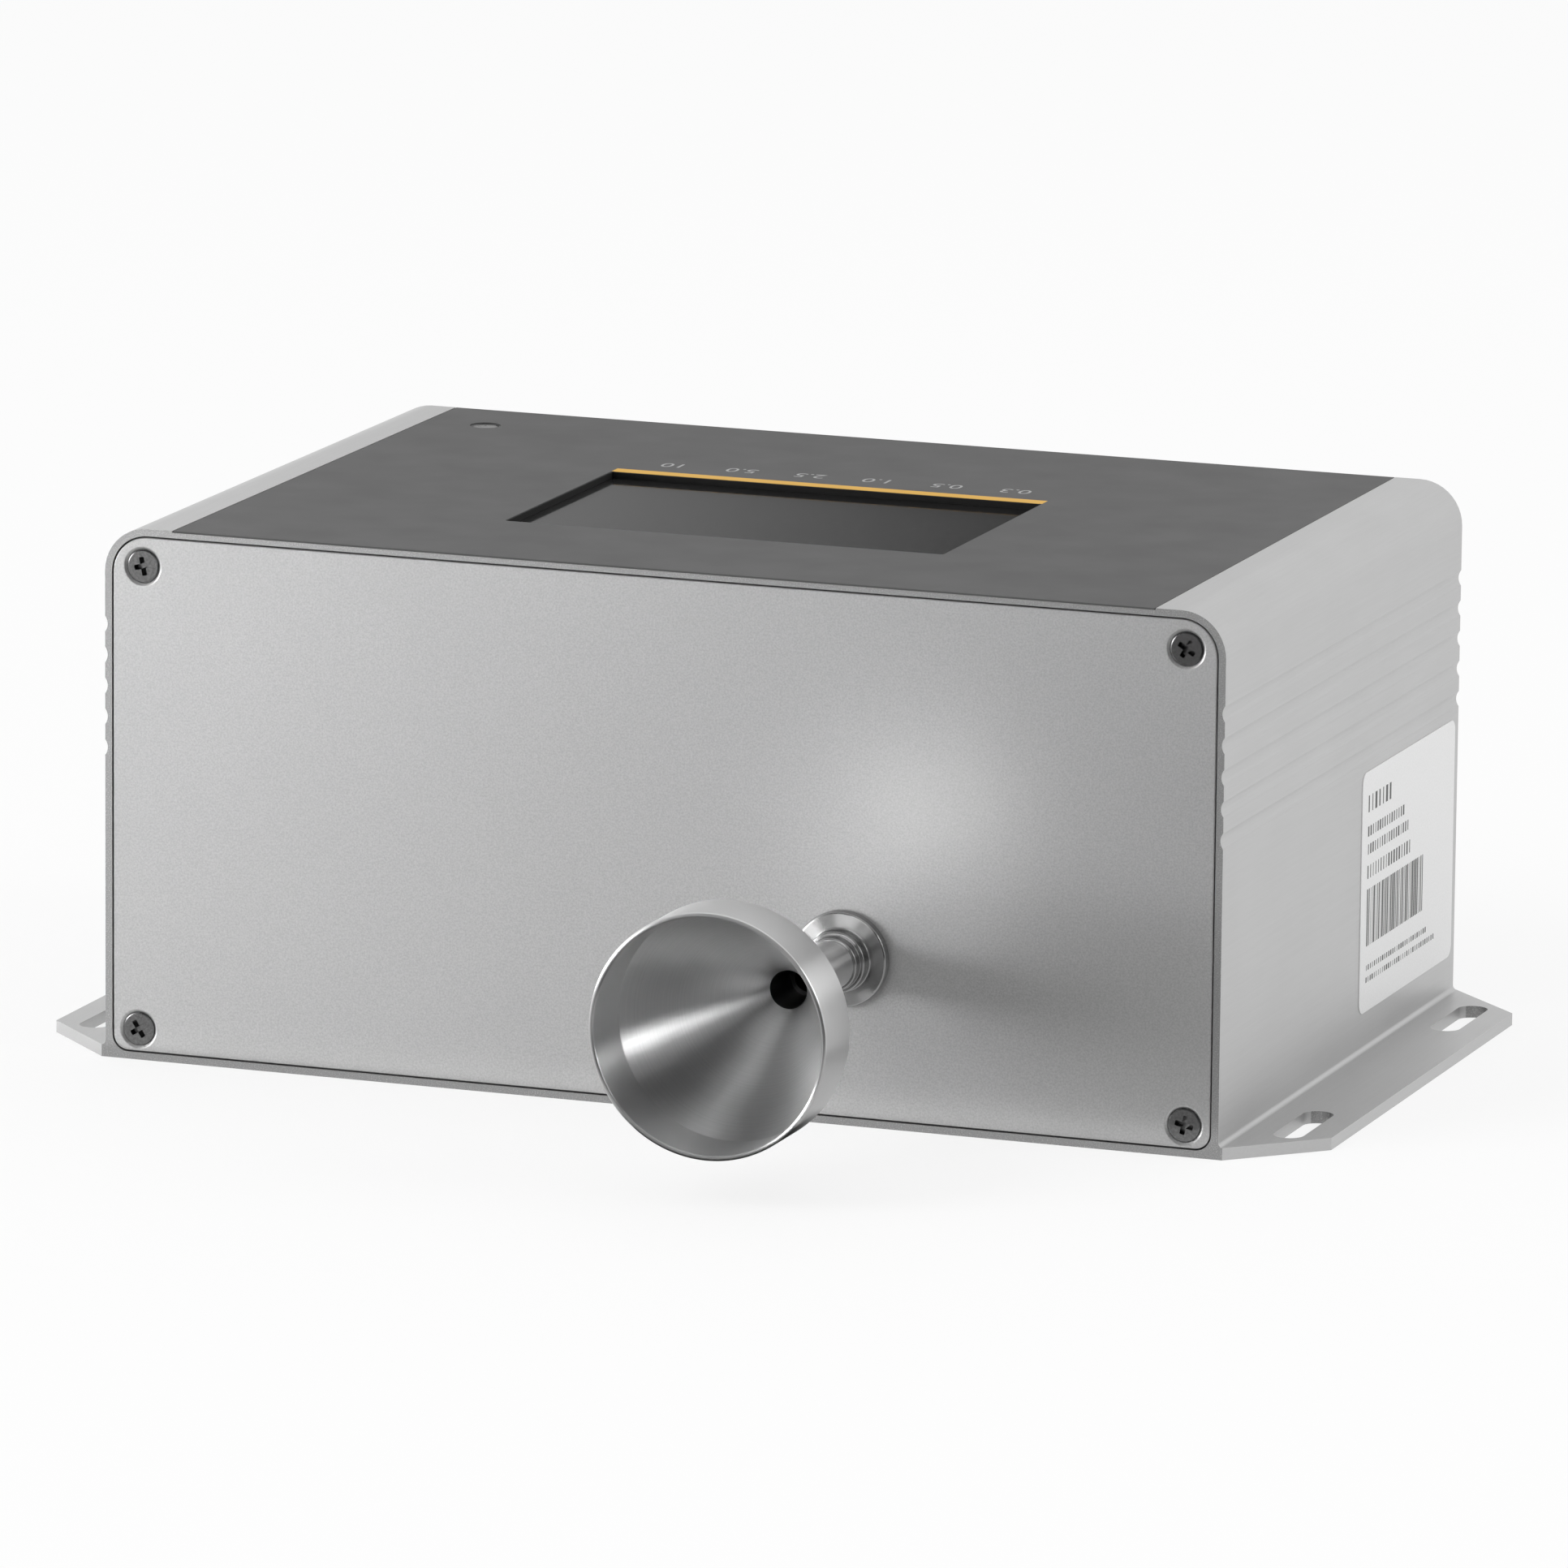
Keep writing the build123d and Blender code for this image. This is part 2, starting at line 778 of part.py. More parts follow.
with BuildPart() as laser_module:
    with BuildSketch(Plane.YZ.offset(sensor_left_x - laser_out)):
        with Locations((sensor_y, inlet_z)):
            Circle(laser_r)
    extrude(amount=laser_out + laser_in)
    with BuildSketch(Plane.YZ.offset(sensor_left_x)):
        with Locations((sensor_y, inlet_z)):
            Circle(laser_window_r)
    extrude(amount=laser_in, mode=Mode.SUBTRACT)

with BuildPart() as light_trap:
    with BuildSketch(Plane.YZ.offset(sensor_right_x - trap_in)):
        with Locations((sensor_y, inlet_z)):
            Circle(laser_r)
    extrude(amount=trap_in + trap_out)
    with BuildSketch(Plane.YZ.offset(sensor_right_x - trap_in)):
        with Locations((sensor_y, inlet_z)):
            Circle(trap_mouth_r)
    extrude(amount=trap_in, taper=trap_taper, mode=Mode.SUBTRACT)

with BuildPart() as collection_mirror:
    with BuildSketch(Plane.XY.offset(inlet_z - mirror_drop - mirror_t)):
        with Locations((inlet_x, sensor_y)):
            Circle(eye_r - fit_clear)
    extrude(amount=mirror_t)
    with Locations((inlet_x, sensor_y, inlet_z - mirror_drop + mirror_sphere_r - mirror_sag)):
        Sphere(mirror_sphere_r, mode=Mode.SUBTRACT)

with BuildPart() as collection_lens:
    with BuildSketch(Plane.XY.offset(inlet_z + lens_rise)):
        with Locations((inlet_x, sensor_y)):
            Circle(eye_r - fit_clear)
    extrude(amount=lens_t)
    fillet(collection_lens.edges().group_by(Axis.Z)[0], lens_t / 2)

with BuildPart() as photodiode:
    with BuildSketch(Plane.XY.offset(sensor_top)):
        with Locations((inlet_x, sensor_y)):
            Circle(photodiode_r)
    extrude(amount=-photodiode_h)

with BuildPart() as detector_board:
    with BuildSketch(Plane.XY.offset(sensor_top)):
        with Locations((inlet_x, sensor_y)):
            Rectangle(detector_board_w, detector_board_w)
    extrude(amount=board_t)

# ---------------------------------------------------------------------------------------------------
# Blower beside the sensor, its eye to the rear and its motor to the front
# ---------------------------------------------------------------------------------------------------

with BuildPart() as blower_housing:
    with BuildSketch(across(blower_x, blower_front_y, inlet_z)):
        Circle(blower_r)
    extrude(amount=-blower_w)
    with BuildSketch(Plane.XY.offset(inlet_z)):
        with Locations((outlet_x, outlet_y)):
            Circle(outlet_duct_r)
    extrude(amount=outlet_rise - spigot_l)
    with BuildSketch(Plane.XY.offset(inlet_z)):
        with Locations((outlet_x, outlet_y)):
            Circle(spigot_r)
    extrude(amount=outlet_rise)
    with BuildSketch(across(blower_x, blower_front_y + blower_wall, inlet_z)):
        Circle(blower_r - blower_wall)
    extrude(amount=-blower_w, mode=Mode.SUBTRACT)
    with BuildSketch(Plane.XY.offset(inlet_z)):
        with Locations((outlet_x, outlet_y)):
            Circle(air_bore_r)
    extrude(amount=outlet_rise, mode=Mode.SUBTRACT)
    with BuildSketch(across(blower_x, blower_front_y, inlet_z)):
        Circle(shaft_r + hole_clear)
    extrude(amount=-blower_wall, mode=Mode.SUBTRACT)

with BuildPart() as blower_cover:
    with BuildSketch(blower_plane):
        with BuildLine():
            Polyline(
                (cover_y, air_bore_r),
                (cover_y, blower_r),
                (blower_rear_y, blower_r),
                (blower_rear_y, spigot_r),
                (blower_rear_y + spigot_l, spigot_r),
                (blower_rear_y + spigot_l, air_bore_r),
                close=True,
            )
        make_face()
    revolve(axis=blower_axis)

with BuildPart() as blower_wheel:
    with BuildSketch(across(blower_x, wheel_front_y, inlet_z)):
        Circle(wheel_r)
    extrude(amount=-wheel_plate_t)
    with BuildSketch(across(blower_x, wheel_front_y, inlet_z)):
        with PolarLocations((wheel_r + wheel_hub_r) / 2, blade_count):
            Rectangle(blade_l, blade_t, rotation=blade_lean)
    extrude(amount=-wheel_w)
    with BuildSketch(across(blower_x, wheel_front_y, inlet_z)):
        Circle(wheel_hub_r)
    extrude(amount=-wheel_w)
    with BuildSketch(across(blower_x, wheel_front_y, inlet_z)):
        Circle(shaft_r)
    extrude(amount=-wheel_w, mode=Mode.SUBTRACT)

with BuildPart() as motor_shaft:
    with BuildSketch(across(blower_x, motor_front_y + bearing_lip + hole_clear, inlet_z)):
        Circle(shaft_r)
    extrude(amount=-(wheel_rear_y - motor_front_y - bearing_lip - hole_clear))

with BuildPart() as motor_can:
    with BuildSketch(blower_plane):
        with BuildLine():
            Polyline(
                (motor_front_y + cap_t, motor_bore_r),
                (motor_front_y + cap_t, motor_r),
                (blower_front_y, motor_r),
                (blower_front_y, shaft_r + hole_clear),
                (blower_front_y - bearing_lip, shaft_r + hole_clear),
                (blower_front_y - bearing_lip, bearing_seat_r),
                (blower_front_y - bearing_lip - bearing_t, bearing_seat_r),
                (blower_front_y - bearing_lip - bearing_t, bearing_boss_r),
                (blower_front_y - cap_t, bearing_boss_r),
                (blower_front_y - cap_t, motor_bore_r),
                close=True,
            )
        make_face()
    revolve(axis=blower_axis)

with BuildPart() as motor_cap:
    with BuildSketch(blower_plane):
        with BuildLine():
            Polyline(
                (motor_front_y, 0),
                (motor_front_y, motor_r),
                (motor_front_y + cap_t, motor_r),
                (motor_front_y + cap_t, bearing_boss_r),
                (motor_front_y + bearing_lip + bearing_t, bearing_boss_r),
                (motor_front_y + bearing_lip + bearing_t, bearing_seat_r),
                (motor_front_y + bearing_lip, bearing_seat_r),
                (motor_front_y + bearing_lip, 0),
                close=True,
            )
        make_face()
    revolve(axis=blower_axis)

with BuildPart() as motor_bearings:
    for y in (motor_front_y + bearing_lip, blower_front_y - bearing_lip - bearing_t):
        with BuildSketch(across(blower_x, y, inlet_z)):
            Circle(bearing_r)
            Circle(shaft_r + slip_clear, mode=Mode.SUBTRACT)
        extrude(amount=-bearing_t)

with BuildPart() as motor_stator:
    with BuildSketch(across(blower_x, motor_middle_y - stator_l / 2, inlet_z)):
        Circle(motor_bore_r - fit_clear)
        Circle(stator_bore_r, mode=Mode.SUBTRACT)
        with PolarLocations(stator_bore_r, stator_slots):
            Rectangle(stator_wall, stator_slot_w, mode=Mode.SUBTRACT)
    extrude(amount=-stator_l)

with BuildPart() as motor_rotor:
    with BuildSketch(across(blower_x, motor_middle_y - rotor_l / 2, inlet_z)):
        Circle(stator_bore_r - run_clear)
        Circle(shaft_r, mode=Mode.SUBTRACT)
    extrude(amount=-rotor_l)

with BuildPart() as blower_bracket:
    with BuildSketch(Plane.XY.offset(floor_wall)):
        with Locations((blower_x, motor_middle_y)):
            Rectangle(bracket_w, bracket_l)
    extrude(amount=inlet_z - motor_r + bracket_sink - floor_wall)
    with BuildSketch(Plane.XY.offset(floor_wall)):
        with Locations((blower_x, motor_middle_y)):
            Rectangle(bracket_w, bracket_l + 2 * bracket_foot)
    extrude(amount=bracket_foot_t)
    with BuildSketch(across(blower_x, motor_front_y, inlet_z)):
        Circle(motor_r + fit_clear)
    extrude(amount=-motor_l, mode=Mode.SUBTRACT)
    with BuildSketch(Plane.XY.offset(floor_wall)):
        with Locations((blower_x, motor_middle_y)):
            with GridLocations(0, bracket_l + bracket_foot, 1, 2):
                Circle(thread_r + slip_clear)
    extrude(amount=bracket_foot_t, mode=Mode.SUBTRACT)

with BuildPart() as bracket_screws:
    with Locations((blower_x, motor_middle_y, floor_wall + bracket_foot_t)):
        with GridLocations(0, bracket_l + bracket_foot, 1, 2):
            add(pan_screw(bracket_foot_t + pan_grip))

# ---------------------------------------------------------------------------------------------------
# Exhaust: filter, outlet fitting and hoses
# ---------------------------------------------------------------------------------------------------

with BuildPart() as filter_housing:
    with BuildSketch(exhaust_plane):
        with BuildLine():
            Polyline(
                (filter_front_y - filter_spigot_l, air_bore_r),
                (filter_front_y - filter_spigot_l, spigot_r),
                (filter_front_y, spigot_r),
                (filter_front_y, filter_r),
                (filter_rear_y, filter_r),
                (filter_rear_y, spigot_r),
                (filter_rear_y + filter_spigot_l, spigot_r),
                (filter_rear_y + filter_spigot_l, air_bore_r),
                (filter_rear_y - filter_wall, air_bore_r),
                (filter_rear_y - filter_wall, filter_r - filter_wall),
                (filter_front_y + filter_wall, filter_r - filter_wall),
                (filter_front_y + filter_wall, air_bore_r),
                close=True,
            )
        make_face()
    revolve(axis=exhaust_axis)

with BuildPart() as filter_element:
    with BuildSketch(across(outlet_x, filter_front_y + filter_wall, exhaust_z)):
        Circle(element_r)
        with PolarLocations(element_r, pleat_count):
            Rectangle(2 * pleat_depth, pleat_gap, mode=Mode.SUBTRACT)
        Circle(element_core_r, mode=Mode.SUBTRACT)
    extrude(amount=-(filter_l - 2 * filter_wall))

barb_points = []
for count in range(barb_count):
    root_y = rear_y + outlet_disc_t + (count + 1) * barb_l
    barb_points += [(root_y, barb_r), (root_y + barb_l, spigot_r)]

with BuildPart() as exhaust_fitting:
    with BuildSketch(exhaust_plane):
        with BuildLine():
            Polyline(
                (exhaust_nut_y - exhaust_spigot_l, air_bore_r),
                (exhaust_nut_y - exhaust_spigot_l, spigot_r),
                (exhaust_nut_y, spigot_r),
                (exhaust_nut_y, shank_r),
                (rear_y, shank_r),
                (rear_y, outlet_disc_r),
                (rear_y + outlet_disc_t, outlet_disc_r),
                (rear_y + outlet_disc_t, spigot_r),
                (rear_y + outlet_disc_t + barb_l, spigot_r),
                *barb_points,
                (rear_y + outlet_disc_t + (barb_count + 1) * barb_l, air_bore_r),
                close=True,
            )
        make_face()
    revolve(axis=exhaust_axis)

with BuildPart() as exhaust_nut:
    with BuildSketch(across(outlet_x, exhaust_nut_y, exhaust_z)):
        RegularPolygon(nut_across / 2, 6, major_radius=False)
        Circle(shank_r + fit_clear, mode=Mode.SUBTRACT)
    extrude(amount=-nut_t)

with BuildPart() as inlet_tube:
    with BuildSketch(across(inlet_x, nut_rear_y + slip_clear, inlet_z)):
        Circle(hose_r)
        Circle(hose_bore_r, mode=Mode.SUBTRACT)
    extrude(amount=-(sensor_front_y - nut_rear_y - 2 * slip_clear))

turn_y = blower_rear_y + spigot_l + hose_lead
turn_r = (blower_x - inlet_x) / 2

with BuildPart() as suction_tube:
    with BuildLine() as suction_route:
        Line((inlet_x, sensor_rear_y + slip_clear, inlet_z), (inlet_x, turn_y, inlet_z))
        ThreePointArc(
            (inlet_x, turn_y, inlet_z),
            (inlet_x + turn_r, turn_y + turn_r, inlet_z),
            (blower_x, turn_y, inlet_z),
        )
        Line((blower_x, turn_y, inlet_z), (blower_x, blower_rear_y + slip_clear, inlet_z))
    with BuildSketch(across(inlet_x, sensor_rear_y + slip_clear, inlet_z)):
        Circle(hose_r)
        Circle(hose_bore_r, mode=Mode.SUBTRACT)
    sweep(path=suction_route.line)

duct_top = outlet_top - spigot_l
bend_y = outlet_y + exhaust_bend_r
bend_z = exhaust_z - exhaust_bend_r

with BuildPart() as exhaust_tube:
    with BuildLine() as exhaust_route:
        Line((outlet_x, outlet_y, duct_top + slip_clear), (outlet_x, outlet_y, bend_z))
        TangentArc((outlet_x, outlet_y, bend_z), (outlet_x, bend_y, exhaust_z), tangent=(0, 0, 1))
        Line((outlet_x, bend_y, exhaust_z), (outlet_x, filter_front_y - slip_clear, exhaust_z))
    with BuildSketch(Plane.XY.offset(duct_top + slip_clear)):
        with Locations((outlet_x, outlet_y)):
            Circle(hose_r)
            Circle(hose_bore_r, mode=Mode.SUBTRACT)
    sweep(path=exhaust_route.line)

with BuildPart() as outlet_tube:
    with BuildSketch(across(outlet_x, filter_rear_y + slip_clear, exhaust_z)):
        Circle(hose_r)
        Circle(hose_bore_r, mode=Mode.SUBTRACT)
    extrude(amount=-(outlet_hose_l - 2 * slip_clear))

clamp_places = [
    (inlet_x, nut_rear_y + slip_clear, inlet_z),
    (inlet_x, sensor_front_y - slip_clear - clamp_w, inlet_z),
    (inlet_x, sensor_rear_y + slip_clear, inlet_z),
    (blower_x, blower_rear_y + slip_clear, inlet_z),
    (outlet_x, filter_front_y - slip_clear - clamp_w, exhaust_z),
    (outlet_x, filter_rear_y + slip_clear, exhaust_z),
    (outlet_x, exhaust_nut_y - slip_clear - clamp_w, exhaust_z),
]
with BuildPart() as hose_clamps:
    for place in clamp_places:
        with BuildSketch(across(*place)):
            Circle(hose_r + fit_clear + clamp_t)
            Circle(hose_r + fit_clear, mode=Mode.SUBTRACT)
        extrude(amount=-clamp_w)
    with BuildSketch(Plane.XY.offset(duct_top + slip_clear)):
        with Locations((outlet_x, outlet_y)):
            Circle(hose_r + fit_clear + clamp_t)
            Circle(hose_r + fit_clear, mode=Mode.SUBTRACT)
    extrude(amount=clamp_w)

# ---------------------------------------------------------------------------------------------------
# Main board with what it carries, and the rear panel that its sockets reach through
# ---------------------------------------------------------------------------------------------------

with BuildPart() as main_board:
    with BuildSketch(main_board_centre):
        Rectangle(main_board_w, main_board_l)
        with GridLocations(board_hole_w, board_hole_l, 2, 2):
            Circle(thread_r + slip_clear, mode=Mode.SUBTRACT)
    extrude(amount=board_t)

with BuildPart() as board_spacers:
    with BuildSketch(main_board_centre):
        with GridLocations(board_hole_w, board_hole_l, 2, 2):
            Circle(spacer_r)
            Circle(thread_r + fit_clear, mode=Mode.SUBTRACT)
    extrude(amount=-main_board_rise)

with BuildPart() as board_screws:
    with Locations(main_board_centre.offset(board_t)):
        with GridLocations(board_hole_w, board_hole_l, 2, 2):
            add(pan_screw(main_board_rise))

with BuildPart() as processor_chip:
    with BuildSketch(Plane.XY.offset(main_board_top)):
        with Locations((main_board_right - chip_inset, main_board_y)):
            Rectangle(chip_w, chip_w)
    extrude(amount=chip_t)

with BuildPart() as power_module:
    with BuildSketch(Plane.XY.offset(main_board_top)):
        with Locations((main_board_left + module_inset, main_board_front + module_back)):
            Rectangle(module_w, module_l)
    extrude(amount=module_h)

with BuildPart() as board_capacitors:
    with BuildSketch(Plane.XY.offset(main_board_top)):
        with Locations((main_board_left + capacitor_inset, main_board_rear - capacitor_front)):
            with GridLocations(capacitor_pitch, capacitor_pitch, capacitor_count, 1):
                Circle(capacitor_r)
    extrude(amount=capacitor_h)

display_underside = board_top - board_t
with BuildPart() as ribbon_plugs:
    with BuildSketch(Plane.XY.offset(main_board_top)):
        with Locations((ribbon_x, window_y)):
            Rectangle(plug_t, ribbon_w + plug_t)
    extrude(amount=plug_h)
    with BuildSketch(Plane.XY.offset(display_underside)):
        with Locations((ribbon_x, window_y)):
            Rectangle(plug_t, ribbon_w + plug_t)
    extrude(amount=-plug_h)

with BuildPart() as display_ribbon:
    with BuildSketch(Plane.XY.offset(main_board_top + plug_h)):
        with Locations((ribbon_x, window_y)):
            Rectangle(ribbon_t, ribbon_w)
    extrude(amount=display_underside - main_board_top - 2 * plug_h)

with BuildPart() as data_socket:
    with BuildSketch(across(data_x, rear_y, data_z)):
        Rectangle(data_w, data_h)
    extrude(amount=data_l)
    with BuildSketch(across(data_x, rear_y, data_z)):
        Rectangle(data_mouth_w, data_mouth_h)
    extrude(amount=data_mouth_l, mode=Mode.SUBTRACT)

with BuildPart() as power_socket:
    with BuildSketch(across(power_x, rear_y, power_z)):
        Rectangle(power_w, power_h)
    extrude(amount=power_l)
    with BuildSketch(across(power_x, rear_y, power_z)):
        Circle(power_mouth_r)
        Circle(power_pin_r, mode=Mode.SUBTRACT)
    extrude(amount=power_mouth_l, mode=Mode.SUBTRACT)

with BuildPart() as rear_panel:
    with BuildSketch(across(0, inner_rear_y, 0)):
        add(panel_outline(rim + panel_gap))
        with Locations((outlet_x, exhaust_z)):
            Circle(shank_r + slip_clear, mode=Mode.SUBTRACT)
        with Locations((data_x, data_z)):
            Rectangle(data_w + 2 * hole_clear, data_h + 2 * hole_clear, mode=Mode.SUBTRACT)
        with Locations((power_x, power_z)):
            Rectangle(power_w + 2 * hole_clear, power_h + 2 * hole_clear, mode=Mode.SUBTRACT)
    extrude(amount=-panel_t)
    with Locations(rear_face):
        with Locations(*panel_screw_points):
            CounterSinkHole(thread_r + 2 * slip_clear, sink_r, counter_sink_angle=90)

# ---------------------------------------------------------------------------------------------------
# Labels and files
# ---------------------------------------------------------------------------------------------------

pieces = {
    "housing_extrusion": housing_extrusion,
    "front_panel": front_panel,
    "front_panel_screws": front_panel_screws,
    "rear_panel": rear_panel,
    "rear_panel_screws": rear_panel_screws,
    "top_film": top_film,
    "side_label": side_label,
    "display_glass": display_glass,
    "display_gasket": display_gasket,
    "display_module": display_module,
    "display_board": display_board,
    "display_standoffs": display_standoffs,
    "display_screws": display_screws,
    "display_ribbon": display_ribbon,
    "ribbon_plugs": ribbon_plugs,
    "status_light": status_light,
    "light_holder": light_holder,
    "inlet_fitting": inlet_fitting,
    "inlet_washer": inlet_washer,
    "inlet_nut": inlet_nut,
    "funnel_probe": funnel_probe,
    "inlet_tube": inlet_tube,
    "sensor_block": sensor_block,
    "sensor_screws": sensor_screws,
    "inlet_nozzle": inlet_nozzle,
    "outlet_nozzle": outlet_nozzle,
    "laser_module": laser_module,
    "light_trap": light_trap,
    "collection_mirror": collection_mirror,
    "collection_lens": collection_lens,
    "photodiode": photodiode,
    "detector_board": detector_board,
    "suction_tube": suction_tube,
    "blower_housing": blower_housing,
    "blower_cover": blower_cover,
    "blower_wheel": blower_wheel,
    "motor_shaft": motor_shaft,
    "motor_rotor": motor_rotor,
    "motor_can": motor_can,
    "motor_cap": motor_cap,
    "motor_bearings": motor_bearings,
    "motor_stator": motor_stator,
    "blower_bracket": blower_bracket,
    "bracket_screws": bracket_screws,
    "exhaust_tube": exhaust_tube,
    "filter_housing": filter_housing,
    "filter_element": filter_element,
    "outlet_tube": outlet_tube,
    "exhaust_fitting": exhaust_fitting,
    "exhaust_nut": exhaust_nut,
    "hose_clamps": hose_clamps,
    "main_board": main_board,
    "board_spacers": board_spacers,
    "board_screws": board_screws,
    "processor_chip": processor_chip,
    "power_module": power_module,
    "board_capacitors": board_capacitors,
    "data_socket": data_socket,
    "power_socket": power_socket,
}
for name, piece in pieces.items():
    piece.part.label = name
    export_step(piece.part, f"parts/{name}.step")
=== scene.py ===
# %% [markdown]
# # Dressing an airborne particle counter
# The counter is a drawn aluminium box with two end panels, a display under a grey film, and a funnel
# that draws in the air to be counted. Its solids are ready and fixed, so this lesson adds what solids
# alone don't have: eased edges, turned steel, print, and finishes that answer to light as real ones do.
# Everything is in metres, with the inlet towards -Y and the mounting face on the floor.

# %% Load the fixed frame
import math
import bmesh
import bpy
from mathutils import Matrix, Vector


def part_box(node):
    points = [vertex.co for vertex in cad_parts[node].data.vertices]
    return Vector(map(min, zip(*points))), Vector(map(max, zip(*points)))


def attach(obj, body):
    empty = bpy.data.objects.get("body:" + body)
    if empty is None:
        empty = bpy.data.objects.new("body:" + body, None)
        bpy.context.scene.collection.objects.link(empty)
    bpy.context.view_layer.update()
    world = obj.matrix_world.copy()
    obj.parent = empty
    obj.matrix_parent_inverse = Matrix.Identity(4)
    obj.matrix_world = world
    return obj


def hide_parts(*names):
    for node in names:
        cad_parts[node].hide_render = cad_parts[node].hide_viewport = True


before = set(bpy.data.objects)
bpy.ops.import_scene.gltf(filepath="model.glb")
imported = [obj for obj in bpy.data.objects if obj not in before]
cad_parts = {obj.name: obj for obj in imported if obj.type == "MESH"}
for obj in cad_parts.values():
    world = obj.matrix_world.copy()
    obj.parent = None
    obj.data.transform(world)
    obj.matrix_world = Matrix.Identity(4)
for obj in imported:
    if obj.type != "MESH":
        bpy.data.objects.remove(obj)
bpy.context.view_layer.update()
mm = 0.001


def linked(name, data):
    """A new object in the scene, at the origin."""
    made = bpy.data.objects.new(name, data)
    bpy.context.scene.collection.objects.link(made)
    return made


# %% [markdown]
# ## Camera
# A small instrument looks honest through a long lens, which keeps its parallel edges nearly parallel.
# The view is given as three turns and a place, and the camera's matrix is put together from them.

# %% Point the camera
housing_high, half_deep = 88 * mm, 62 * mm
yaw, pitch, roll = 0.35154, 0.20458, 0.00949
# To the side, down and away from the middle of the front's foot, in housing heights.
stand_off = Vector((-0.23855, 0.59028, 23.98525)) * housing_high
look = Vector((-math.sin(yaw) * math.cos(pitch), math.cos(yaw) * math.cos(pitch), -math.sin(pitch)))
level = Vector((math.cos(yaw), math.sin(yaw), 0))
sink = look.cross(level)
right = math.cos(roll) * level - math.sin(roll) * sink
down = math.sin(roll) * level + math.cos(roll) * sink
eye = -(stand_off.x * right + stand_off.y * down + stand_off.z * look) - Vector((0, half_deep, 0))

lens = bpy.data.cameras.new("bench_lens")
lens.sensor_width, lens.lens = 36.0, 301.8
lens.clip_start, lens.clip_end = 0.05, 50
camera = linked("bench_camera", lens)
for column, axis in enumerate((right, -down, -look, eye)):
    for row in range(3):
        camera.matrix_world[row][column] = axis[row]
bpy.context.scene.camera = camera
bpy.context.scene.view_settings.view_transform = "Standard"
print("camera stands at", tuple(round(v, 4) for v in eye))

# %% [markdown]
# ## A small kit for nodes
# Shaders and Geometry Nodes are both graphs. One helper adds a node, sets it, and gives each input
# either a value or a link, so that each recipe below reads as a list of what it does.

# %% Node helpers
def node(tree, kind, inputs=None, **settings):
    """Add a node to a tree. An input that is given a socket is linked to it, any other is set."""
    made = tree.nodes.new(kind)
    for key, value in settings.items():
        setattr(made, key, value)
    for key, value in (inputs or {}).items():
        if isinstance(value, bpy.types.NodeSocket):
            tree.links.new(value, made.inputs[key])
        else:
            made.inputs[key].default_value = value
    return made


def math_node(tree, operation, first, second=0.0):
    return node(tree, "ShaderNodeMath", {0: first, 1: second}, operation=operation).outputs[0]


# The colour sockets of a Mix node come after those for numbers and vectors.
MIX_FACTOR, MIX_A, MIX_B, MIX_RESULT = 0, 6, 7, 2


def mix_colour(tree, fac, first, second):
    inputs = {MIX_FACTOR: fac, MIX_A: first, MIX_B: second}
    return node(tree, "ShaderNodeMix", inputs, data_type="RGBA").outputs[MIX_RESULT]


def tone(value):
    """A display tone from 0 to 255 as the linear value that a shader takes."""
    v = value / 255
    return v / 12.92 if v <= 0.04045 else ((v + 0.055) / 1.055) ** 2.4


def rgb(r, g, b):
    return (tone(r), tone(g), tone(b), 1)


def grey(value):
    return rgb(value, value, value)


# %% [markdown]
# ## Finishes
# Each finish starts from one Principled shader whose constant values sit on its own sockets. Noise in
# object space then moves its colour, its roughness or its normal a little, at the size the real
# texture has, so the same recipe works on every piece and stays put when a piece turns.

# %% Helpers for a finish
def start_finish(name, colour, metallic=0.0, roughness=0.5, specular=0.5, **more):
    material = bpy.data.materials.new(name)
    material.use_nodes = True
    tree = material.node_tree
    shader = tree.nodes["Principled BSDF"]
    values = {"Base Color": colour, "Metallic": metallic, "Roughness": roughness}
    for key, value in {**values, "Specular IOR Level": specular, **more}.items():
        shader.inputs[key].default_value = value
    return material, tree, shader


def place_on(tree, stretch=(1, 1, 1)):
    """Object coordinates in millimetres, stretched so that a grain can run along one direction."""
    where = node(tree, "ShaderNodeTexCoord")
    scale = tuple(1000 * s for s in stretch)
    return node(tree, "ShaderNodeMapping", {"Vector": where.outputs["Object"], "Scale": scale}).outputs[0]


def grain(tree, per_mm, detail=3.0, stretch=(1, 1, 1)):
    inputs = {"Vector": place_on(tree, stretch), "Scale": per_mm, "Detail": detail}
    return node(tree, "ShaderNodeTexNoise", inputs).outputs["Fac"]


def between(tree, fac, low, high, start=0.3, stop=0.7):
    """Map a noise, whose values crowd around 0.5, onto a range."""
    made = {"Value": fac, "From Min": start, "From Max": stop, "To Min": low, "To Max": high}
    return node(tree, "ShaderNodeMapRange", made).outputs[0]


def paint(tree, shader, colour):
    tree.links.new(colour, shader.inputs["Base Color"])


def tint(tree, shader, noise, dark, light):
    """Let a noise move the colour between two tones."""
    paint(tree, shader, mix_colour(tree, between(tree, noise, 0, 1), dark, light))


def set_rough(tree, shader, value):
    tree.links.new(value, shader.inputs["Roughness"])


def raise_grain(tree, shader, height, depth_mm, strength=1.0):
    bump = node(tree, "ShaderNodeBump", {"Height": height, "Distance": depth_mm * mm, "Strength": strength})
    tree.links.new(bump.outputs[0], shader.inputs["Normal"])

# %% [markdown]
# ## Stage and light
# The floor is plain and pale. Part of it is an even white for the eye and for reflections, and part is
# a real matt surface, so that the counter still rests in its own soft shadow. Satin aluminium shows
# whatever stands around it, so plain cards beside the bench give it its slow changes of tone, as a
# studio's white and black boards do. The camera doesn't see them.

